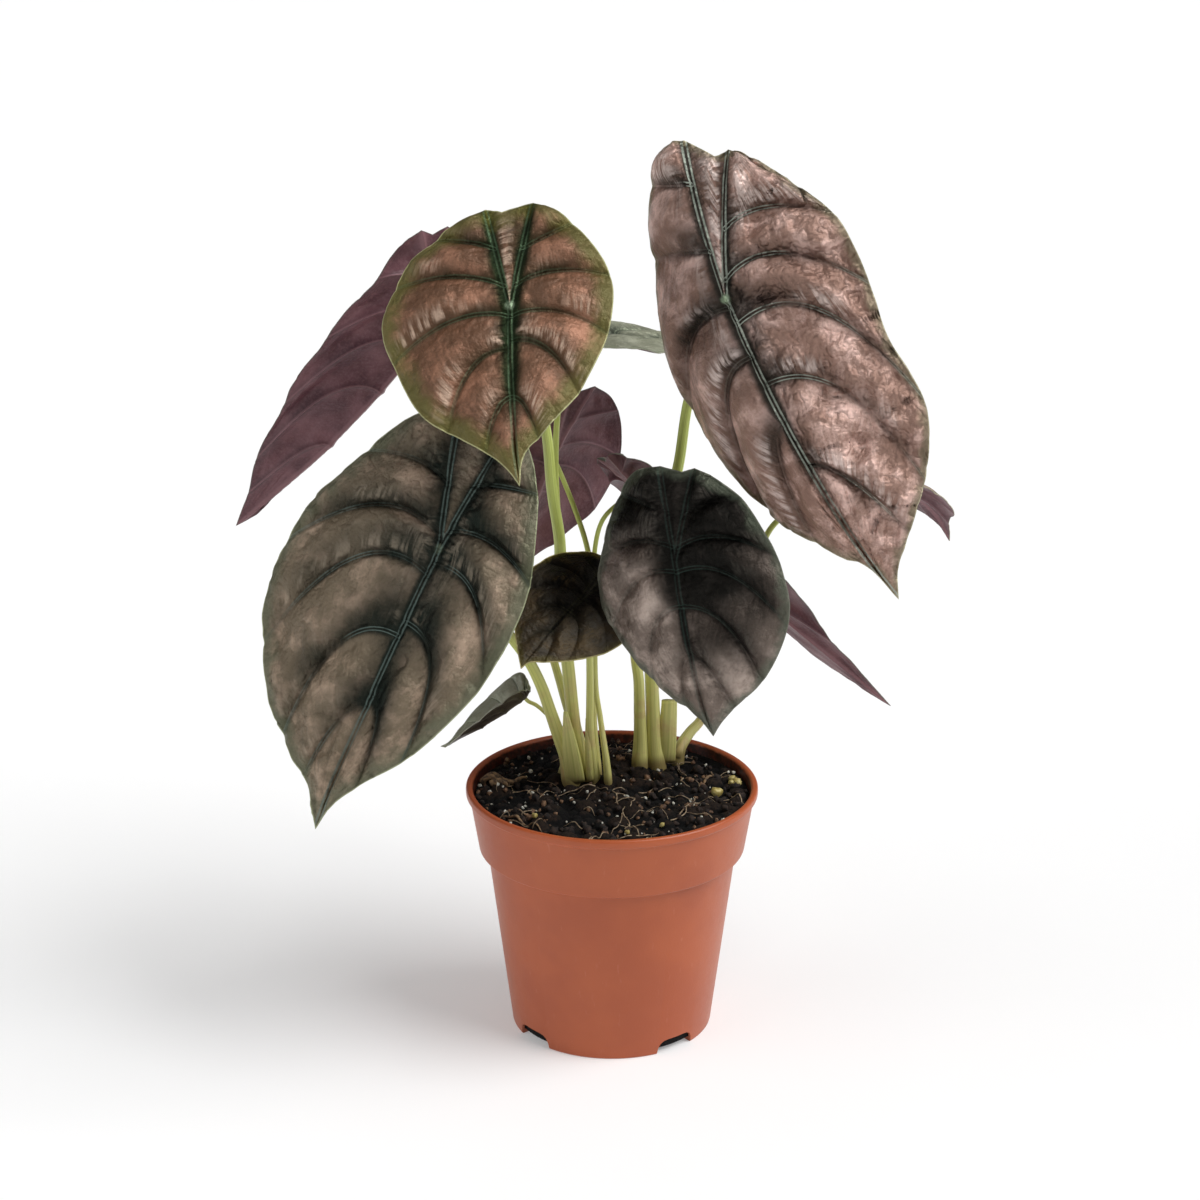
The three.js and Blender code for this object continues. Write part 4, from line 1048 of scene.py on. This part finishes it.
def fibre(top_at, start, heading, length, wander, lift, radius, rng):
    """A root hair or twig that wanders over the soil, lifted in an arch by lift millimetres."""
    steps = max(6, int(length / 1.5))
    x, y = start
    line = []
    for i in range(steps + 1):
        arch = lift * math.sin(math.pi * i / steps)
        line.append((x, y, float(top_at(x, y)) + radius + arch))
        heading += rng.normal(0, wander)
        step = length / steps
        if math.hypot(x + step * math.cos(heading), y + step * math.sin(heading)) > BITS_REACH:
            heading += TURN_BACK
        x, y = x + step * math.cos(heading), y + step * math.sin(heading)
    line = np.array(line)
    line[1:-1, 2] = np.convolve(line[:, 2], (0.25, 0.5, 0.25), "valid")
    smooth = catmull_rom(line, 3)
    taper = 1 - 0.6 * np.linspace(0, 1, len(smooth)) ** 2
    return tube(smooth, radius * taper, 6)


def build_soil_bits(top_at):
    """Perlite, bark, lumps of peat, fertiliser beads, root hairs and twigs on the soil."""
    rng = np.random.default_rng(BITS_SEED)
    bits = {name: scatter_grains(top_at, rng, *sizes) for name, sizes in GRAINS.items()}
    beads, hairs, twigs = [], [], []
    for x, y, half in BEADS:
        centre = (x, y, float(top_at(x, y)) + 0.7 * half)
        beads.append(grain(centre, half * np.array([1, 0.95, 0.9]), rng))
    for _ in range(HAIR_COUNT):
        start = soil_place(rng, HAIR_REACH)
        heading, length = rng.uniform(0, 2 * math.pi), rng.uniform(5, 20)
        lift, radius = rng.uniform(0, 2.5), rng.uniform(0.13, 0.32)
        hairs.append(fibre(top_at, start, heading, length, 0.28, lift, radius, rng))
    for x, y, heading, length, radius in TWIGS:
        twigs.append(fibre(top_at, (x, y), math.radians(heading), length, 0.05, 0.8, radius, rng))
    bits |= {"fertiliser_beads": join(beads), "root_hairs": join(hairs), "twigs": join(twigs)}
    for name, (points, faces) in bits.items():
        add_mesh(name, points, faces, [bit_material(*BIT_LOOKS[name])])


# Materials

class Graph:
    """A material's node tree, with short calls for the nodes used here."""

    def __init__(self, name):
        self.material = bpy.data.materials.new(name)
        self.material.use_nodes = True
        self.tree = self.material.node_tree
        self.shader = self.tree.nodes["Principled BSDF"]

    def put(self, socket, value):
        if isinstance(value, bpy.types.NodeSocket):
            self.tree.links.new(value, socket)
        else:
            socket.default_value = value

    def node(self, kind, settings=(), inputs=(), output=0):
        made = self.tree.nodes.new(kind)
        for key, value in dict(settings).items():
            setattr(made, key, value)
        for key, value in dict(inputs).items():
            self.put(made.inputs[key], value)
        return made.outputs[output]

    def attribute(self, name):
        return self.node("ShaderNodeAttribute", {"attribute_name": name}, output="Fac")

    def math(self, operation, a, b=0.0, c=0.0):
        return self.node("ShaderNodeMath", {"operation": operation}, {0: a, 1: b, 2: c})

    def times(self, a, b):
        return self.math("MULTIPLY", a, b)

    def plus(self, a, b):
        return self.math("ADD", a, b)

    def minus(self, a, b):
        return self.math("SUBTRACT", a, b)

    def magnitude(self, a):
        return self.math("ABSOLUTE", a)

    def line(self, value, slope, offset):
        """value times slope plus offset."""
        return self.math("MULTIPLY_ADD", value, slope, offset)

    def ramp(self, value, low, high):
        """0 below low, 1 above high and smooth between; reversed where low is over high."""
        made = self.tree.nodes.new("ShaderNodeMapRange")
        made.interpolation_type = "SMOOTHSTEP"
        self.put(made.inputs["Value"], value)
        ends = (low, high, 0.0, 1.0) if low < high else (high, low, 1.0, 0.0)
        for key, end in zip(("From Min", "From Max", "To Min", "To Max"), ends):
            made.inputs[key].default_value = end
        return made.outputs[0]

    def mix(self, share, a, b):
        made = self.tree.nodes.new("ShaderNodeMix")
        made.data_type = "RGBA"
        self.put(made.inputs["Factor"], share)
        self.put(made.inputs[6], a)
        self.put(made.inputs[7], b)
        return made.outputs[2]

    def tint(self, colour, other, share, most):
        """colour, turned towards another one by a share of most."""
        return self.mix(self.times(share, most), colour, other)

    def place(self):
        """The surface's own place, in millimetres."""
        at = self.node("ShaderNodeTexCoord", output="Object")
        return self.node("ShaderNodeVectorMath", {"operation": "SCALE"}, {0: at, "Scale": 1 / MM})

    def stretch(self, vector, factors):
        return self.node("ShaderNodeVectorMath", {"operation": "MULTIPLY"}, {0: vector, 1: factors})

    def noise(self, vector, scale, detail=3.0, roughness=0.55):
        inputs = {"Vector": vector, "Scale": scale, "Detail": detail, "Roughness": roughness}
        return self.node("ShaderNodeTexNoise", {}, inputs)

    def combine(self, x, y, z=0.0):
        return self.node("ShaderNodeCombineXYZ", {}, {0: x, 1: y, 2: z})

    def bump(self, height, distance, strength=1.0, normal=None):
        inputs = {"Height": height, "Distance": distance * MM, "Strength": strength}
        if normal is not None:
            inputs["Normal"] = normal
        return self.node("ShaderNodeBump", {}, inputs)

    def finish(self, **sockets):
        for key, value in sockets.items():
            self.put(self.shader.inputs[key.replace("_", " ")], value)
        return self.material


# Colours of the upper faces. highlight is the colour of the painted highlight strokes; shade is the
# colour of the painted shade, which also stands for the leaf's own dark green near its veins.
# margin_width: how far in from the edge the margin's colour is full, and how far in it has faded out.
# metal: how metallic the face looks where no shade is painted.
UPPER_COLOURS = {
    "coppery": dict(
        panel=(104, 72, 50), glow=(170, 122, 96), highlight=(210, 182, 160), shade=(18, 36, 18),
        margin=(96, 96, 40), vein=(96, 120, 92), edge=(190, 190, 140), margin_width=(2.2, 10.5), metal=0.35,
    ),
    "rosy": dict(
        panel=(152, 120, 106), glow=(240, 204, 192), highlight=(250, 232, 224), shade=(30, 32, 28),
        margin=(124, 116, 92), vein=(160, 168, 156), edge=(186, 180, 150), margin_width=(0.8, 4.5), metal=0.5,
    ),
    "grey_copper": dict(
        panel=(118, 104, 84), glow=(182, 158, 136), highlight=(182, 168, 148), shade=(18, 30, 27),
        margin=(94, 98, 76), vein=(104, 120, 114), edge=(170, 176, 140), margin_width=(1, 8), metal=0.35,
    ),
    "dark": dict(
        panel=(116, 102, 92), glow=(196, 178, 166), highlight=(140, 134, 124), shade=(5, 9, 8),
        margin=(92, 98, 84), vein=(72, 94, 86), edge=(120, 122, 108), margin_width=(0.8, 5), metal=0.35,
    ),
    # olive: partly the leaf's own colour and partly painted shadow of the leaves above, so it is very dark.
    "olive": dict(
        panel=(44, 36, 18), glow=(84, 66, 34), highlight=(84, 66, 34), shade=(4, 4, 3),
        margin=(84, 74, 28), vein=(50, 50, 30), edge=(190, 180, 120), margin_width=(0.3, 3), metal=0.2,
    ),
    "grey_green": dict(
        panel=(146, 148, 126), glow=(182, 184, 162), highlight=(182, 184, 162), shade=(70, 78, 66),
        margin=(140, 146, 120), vein=(180, 190, 160), edge=(170, 170, 150), margin_width=(0.4, 2), metal=0.2,
    ),
}

# How each upper face is shaded; pairs are for its left and its right half. The shade is painted into
# the colour, together with the leaf's own dark green near its veins.
# pucker: height of the puckers. beside: strength of the painted shade close to a side vein. band: where
# between two side veins the broad painted shade starts, and its strength on the left and on the right.
# rib_reach, rib_shade: share of a half that the ribs' painted shade covers, and how strongly. rib_width:
# width of the shade along the ribs. lobe_shade: painted shadow over the lobes. strip_glow: how much the
# strip between the basal veins stays free of painted shade, and how strongly a painted highlight runs
# along its middle. painted_highlights: strength of the bright strokes, which are painted highlights.
# lines, rib_line: strength of the pale lines beside the side veins and the ribs. knob: the pale point
# where the stalk joins.
PLAIN_LOOKS = dict(
    pucker=(1, 1), beside=0.8, band=(0.5, 0.8, 0.8), rib_reach=(0.5, 0.5), rib_shade=(0.7, 0.7),
    lobe_shade=0, strip_glow=0.3, painted_highlights=0.3, lines=(0.5, 0.5), rib_line=0.4, rib_width=3.4, knob=0,
)
LOOKS = {
    "upper_left": dict(
        PLAIN_LOOKS, pucker=(0.9, 0.9), band=(0.66, 0.7, 0.6), rib_reach=(0.3, 0.4), rib_shade=(0.5, 0.6),
        strip_glow=0.9, painted_highlights=1, lines=(0.4, 0.3), rib_width=5.5, knob=0.6,
    ),
    "upper_right": dict(
        PLAIN_LOOKS, pucker=(0.6, 2.6), band=(0.5, 0.75, 0.65), rib_reach=(0.8, 0.3), rib_shade=(0.55, 0.7),
        strip_glow=0.9, painted_highlights=0.7, lines=(0.1, 1), rib_line=0.8, knob=0.9,
    ),
    "lower_left": dict(
        PLAIN_LOOKS, pucker=(1.2, 1.2), band=(0.25, 0.85, 1.05), rib_reach=(0.45, 0.7), rib_shade=(0.7, 0.85),
        strip_glow=0.4, painted_highlights=0.4, lines=(0.8, 0.7), rib_line=0.6, knob=0.2,
    ),
    # Its lobes and its right half carry painted shadow of the leaf above.
    "lower_right": dict(
        PLAIN_LOOKS, beside=0.4, band=(0.4, 0.25, 0.6), rib_reach=(0.4, 1.7), rib_shade=(0.9, 0.98),
        lobe_shade=0.97, strip_glow=0.2, lines=(0.25, 0.3), rib_line=0.2,
    ),
    # Its lobes and ribs carry painted shadow of the leaves above.
    "small_front": dict(
        PLAIN_LOOKS, beside=0.35, band=(0.5, 0.4, 0.4), rib_reach=(1.2, 0.7), rib_shade=(1, 0.8),
        lobe_shade=0.95, lines=(0.2, 0.2), rib_line=0.15,
    ),
    "small_low": dict(PLAIN_LOOKS, band=(0.7, 0.3, 0.3), rib_reach=(0.2, 0.2), rib_shade=(0.4, 0.4)),
}


def upper_material(name, margin_width, metal, **colours):
    """Copper panels with painted shade and dark green by the veins, painted highlight strokes, a margin, pale
    vein lines and a thin edge.
    """
    g = Graph("blade_upper_" + name)
    tone = {key: srgb(*colour) for key, colour in colours.items()}
    side_vein, rib, rim = g.attribute("side_vein"), g.attribute("rib"), g.attribute("edge")
    at = g.place()
    cloud = g.noise(at, 0.13, 3.0)
    leather = g.noise(at, 1.1, 4.0, 0.65)
    across_panel = g.combine(g.times(g.attribute("vein_share"), 30.0), g.times(g.attribute("vein_row"), 2.2))
    across_rib = g.combine(g.times(g.attribute("rib_share"), 34.0), g.times(rib, 0.12))
    near_rib = g.ramp(rib, 9.0, 3.0)
    streaks = g.plus(g.times(g.noise(across_rib, 1.0), near_rib),
                     g.times(g.noise(across_panel, 1.0), g.minus(1.0, near_rib)))
    bright = g.plus(g.times(g.noise(at, 0.05, 2.0), 0.4), g.times(cloud, 0.35))
    bright = g.plus(bright, g.times(g.plus(leather, streaks), 0.14))
    colour = g.mix(g.ramp(bright, 0.46, 0.66), tone["panel"], tone["glow"])
    # The zone: painted shade, mixed with the leaf's dark green near its veins, with ragged edges.
    ragged = g.plus(g.line(streaks, 0.8, -0.4), g.line(leather, 0.6, -0.3))
    zone = g.plus(g.attribute("zone"), g.times(ragged, 0.35))
    shaded = g.times(g.ramp(zone, 0.0, 0.85), 0.96)
    colour = g.mix(shaded, colour, tone["shade"])
    # Painted highlight strokes, in the highlight colour.
    painted_highlight = g.times(g.attribute("painted_highlight"), g.ramp(streaks, 0.4, 0.62))
    colour = g.tint(colour, tone["highlight"], painted_highlight, 0.85)
    wobble = g.plus(rim, g.line(cloud, 8.0, -4.0))
    colour = g.tint(colour, tone["margin"], g.ramp(wobble, margin_width[1], margin_width[0]), 0.75)
    width = g.line(g.attribute("taper"), -0.4, 0.7)
    line = g.ramp(g.magnitude(g.minus(side_vein, width)), 0.32, 0.1)
    line = g.times(line, g.line(g.attribute("taper"), -0.5, 1.0))
    colour = g.tint(colour, tone["vein"], line, g.attribute("line"))
    line = g.ramp(g.magnitude(g.minus(rib, 0.8)), 0.5, 0.2)
    colour = g.tint(colour, tone["vein"], line, g.attribute("rib_line"))
    colour = g.mix(g.attribute("knob"), colour, srgb(150, 168, 140))
    colour = g.tint(colour, tone["edge"], g.ramp(rim, 0.6, 0.15), 0.8)
    wrinkle = g.magnitude(g.line(g.noise(at, 0.13, 2.0), 2.0, -1.0))
    normal = g.bump(g.times(wrinkle, g.attribute("pucker")), 1.3)
    normal = g.bump(g.noise(at, 0.4, 3.0), 0.5, 1.0, normal)
    normal = g.bump(leather, 0.4, 1.0, normal)
    normal = g.bump(streaks, 0.5, 0.6, normal)
    rough = g.line(leather, 0.25, 0.3)
    # Where shade is painted, the face turns more metallic with its dark colour, so its reflections darken
    # too.
    metallic_with_shade = g.line(shaded, 0.95 - metal, metal)
    return g.finish(Base_Color=colour, Roughness=rough, Metallic=metallic_with_shade, Normal=normal, Specular_IOR_Level=0.5)


# Colours of the undersides: dark and light of the face, grooves beside the veins, ridges on them.
UNDER_COLOURS = {
    "purple": (srgb(78, 42, 50), srgb(118, 78, 84), srgb(50, 26, 34), srgb(146, 106, 110)),
    "umber": (srgb(54, 46, 38), srgb(78, 68, 58), srgb(34, 28, 24), srgb(104, 96, 84)),
}


def under_material(name, dark, light, groove, ridge):
    """A cloudy underside with darker grooves beside its veins and paler ridges on them."""
    g = Graph("blade_under_" + name)
    side_vein, rib, rim = g.attribute("side_vein"), g.attribute("rib"), g.attribute("edge")
    at = g.place()
    cloud = g.noise(at, 0.07)
    colour = g.mix(g.ramp(cloud, 0.3, 0.7), dark, light)
    fine = g.noise(at, 0.9, 4.0)
    colour = g.tint(colour, ridge, g.ramp(fine, 0.4, 0.75), 0.25)
    colour = g.tint(colour, groove, g.ramp(side_vein, 2.2, 0.4), 0.35)
    colour = g.tint(colour, ridge, g.ramp(side_vein, 0.6, 0.2), 0.4)
    colour = g.tint(colour, ridge, g.ramp(rib, 1.8, 0.6), 0.6)
    colour = g.tint(colour, srgb(90, 84, 80), g.ramp(rim, 0.6, 0.2), 0.5)
    normal = g.bump(fine, 0.2)
    return g.finish(Base_Color=colour, Roughness=0.45, Normal=normal, Metallic=0.15)


def stalk_material():
    """Pale and yellowish at the foot, greener up the stalk, with fine lengthwise streaks."""
    g = Graph("stalk_green")
    height = g.attribute("height")
    at = g.place()
    colour = g.mix(g.ramp(height, 0.02, 0.45), srgb(228, 222, 140), srgb(202, 216, 112))
    around = g.attribute("around")
    streak = g.noise(g.combine(g.times(around, 9.0), g.times(height, 2.5)), 1.0, 4.0)
    colour = g.tint(colour, srgb(156, 166, 74), g.ramp(streak, 0.42, 0.62), 0.4)
    blush = g.times(g.ramp(g.noise(at, 0.09), 0.5, 0.68), g.ramp(height, 0.35, 0.0))
    colour = g.tint(colour, srgb(206, 170, 122), blush, 0.55)
    low = g.ramp(g.times(height, g.line(streak, 1.0, 0.5)), 0.03, 0.01)
    colour = g.mix(low, colour, srgb(150, 134, 84))
    normal = g.bump(streak, 0.25)
    return g.finish(Base_Color=colour, Roughness=0.4, Normal=normal)


def pot_material():
    """Orange-brown plastic, faintly mottled; the inside of the collar is darker brown up to just under the
    rim.
    """
    g = Graph("pot_plastic")
    at = g.place()
    colour = g.mix(g.ramp(g.noise(at, 0.03), 0.35, 0.65), srgb(176, 86, 44), srgb(167, 79, 40))
    scuff = g.noise(g.stretch(at, (1.0, 1.0, 0.25)), 0.5, 5.0)
    colour = g.tint(colour, srgb(196, 122, 96), g.ramp(scuff, 0.62, 0.8), 0.3)
    # Dark brown on the inside of the collar, from its foot up to just under the rim.
    level_place = g.stretch(at, (1.0, 1.0, 0.0))
    radius = g.node("ShaderNodeVectorMath", {"operation": "LENGTH"}, {0: level_place}, "Value")
    height = g.node("ShaderNodeSeparateXYZ", {}, {0: at}, "Z")
    foot_z = COLLAR_FOOT_Z + COLLAR_STEP
    slope = (COLLAR_TOP_RADIUS - COLLAR_FOOT_RADIUS) / (POT_HEIGHT - RIM_DEPTH - foot_z)
    outside = g.line(height, slope, COLLAR_FOOT_RADIUS - slope * foot_z)
    inward = g.ramp(g.minus(outside, radius), 0.5, 0.9)
    level = g.plus(height, g.line(g.noise(at, 0.4, 4.0), 1.6, -0.8))
    darker_inside = g.times(inward, g.times(g.ramp(height, 80.0, 82.0), g.ramp(level, 104.6, 103.4)))
    inside_colour = g.mix(g.ramp(g.noise(at, 0.5, 5.0), 0.4, 0.65), srgb(48, 18, 12), srgb(92, 40, 27))
    colour = g.mix(darker_inside, colour, inside_colour)
    normal = g.bump(g.noise(at, 1.6, 4.0), 0.05)
    rough = g.line(g.noise(at, 0.3), 0.12, 0.34)
    return g.finish(Base_Color=colour, Roughness=rough, Normal=normal)


def soil_material():
    g = Graph("potting_mix")
    at = g.place()
    # The higher a crumb stands, the lighter it is painted: a painted highlight on the crumbs' tops and
    # painted shade in the hollows between them, over a random mottle.
    tone = g.times(g.noise(at, 0.9, 6.0, 0.65), g.ramp(g.attribute("crumb"), -0.6, 2.4))
    colour = g.mix(g.ramp(tone, 0.3, 0.62), srgb(6, 5, 5), srgb(46, 34, 26))
    normal = g.bump(g.noise(at, 2.2, 6.0, 0.7), 0.9)
    return g.finish(Base_Color=colour, Roughness=0.85, Normal=normal, Specular_IOR_Level=0.25)


def bit_material(name, dark, light, scale, rough):
    """A mottled material for the small bits on the soil."""
    g = Graph(name)
    at = g.place()
    shade = g.noise(at, scale, 4.0)
    colour = g.mix(g.ramp(shade, 0.35, 0.65), srgb(*dark), srgb(*light))
    return g.finish(Base_Color=colour, Roughness=rough, Normal=g.bump(shade, 0.3))


def floor_material():
    g = Graph("floor")
    at = g.place()
    colour = g.mix(g.noise(at, 0.01), (0.71, 0.71, 0.71, 1), (0.73, 0.73, 0.73, 1))
    glow = {"Emission_Color": (1, 1, 1, 1), "Emission_Strength": FLOOR_GLOW}
    return g.finish(Base_Color=colour, Roughness=0.8, **glow)


# Stage

def look_at(thing, target):
    direction = Vector(target) - thing.location
    thing.rotation_euler = direction.to_track_quat("-Z", "Y").to_euler()


def add_camera():
    data = bpy.data.cameras.new("camera")
    data.lens = LENS_MM
    data.sensor_width = SENSOR_MM
    camera = add_object("camera", data)
    camera.location = CAMERA_AT
    look_at(camera, CAMERA_TARGET)
    bpy.context.scene.camera = camera


def add_sun(name, towards, spread, strength):
    """A broad soft light from far away; spread is the angle in degrees that it fills in the sky."""
    data = bpy.data.lights.new(name, "SUN")
    data.angle = math.radians(spread)
    data.energy = strength
    light = add_object(name, data)
    light.location = towards
    look_at(light, (0, 0, 0))


def add_stage():
    corners = [(x * FLOOR_HALF, y * FLOOR_HALF, 0) for x, y in ((-1, -1), (1, -1), (1, 1), (-1, 1))]
    floor = add_plain_mesh("floor", corners, [[0, 1, 2, 3]], [floor_material()])
    world = bpy.data.worlds.new("studio")
    world.use_nodes = True
    background = world.node_tree.nodes["Background"].inputs
    background["Color"].default_value = (1, 1, 1, 1)
    background["Strength"].default_value = WORLD_STRENGTH
    bpy.context.scene.world = world
    for name, sun in SUNS.items():
        add_sun(name, *sun)


add_camera()
add_stage()
bpy.context.scene.view_settings.view_transform = "Standard"

UNDER = {key: under_material(key, *colours) for key, colours in UNDER_COLOURS.items()}
UPPER = {key: upper_material(key, **colours) for key, colours in UPPER_COLOURS.items()}

# Each blade's upper and under material, slot, rows of quads between two side veins, and columns.
LEAF_BUILDS = {
    "upper_left": ("coppery", "purple", "blade", 28, 56),
    "upper_right": ("rosy", "purple", "blade", 34, 64),
    "lower_left": ("grey_copper", "purple", "blade", 34, 64),
    "lower_right": ("dark", "purple", "blade_dark", 28, 56),
    "small_front": ("olive", "purple", "blade_dark", 18, 36),
    "back_left": ("dark", "purple", "blade_underside", 24, 48),
    "back_middle": ("dark", "purple", "blade_underside", 18, 36),
    "back_low_right": ("dark", "purple", "blade_underside", 18, 36),
    "back_right": ("rosy", "purple", "blade_underside", 18, 36),
    "back_level": ("grey_green", "purple", "blade", 18, 36),
    "small_low": ("grey_green", "umber", "blade_dark", 16, 28),
}
for seed, (name, (upper, under, slot, per_vein, columns)) in enumerate(LEAF_BUILDS.items()):
    looks = LOOKS.get(name, PLAIN_LOOKS)
    build_leaf(name, LEAVES[name], looks, per_vein, columns, [UPPER[upper], UNDER[under]], 10 * seed)
STALK = stalk_material()
for name in STALKS:
    build_stalk(name, STALK)
build_pot(pot_material())
build_soil_bits(build_soil(soil_material()))
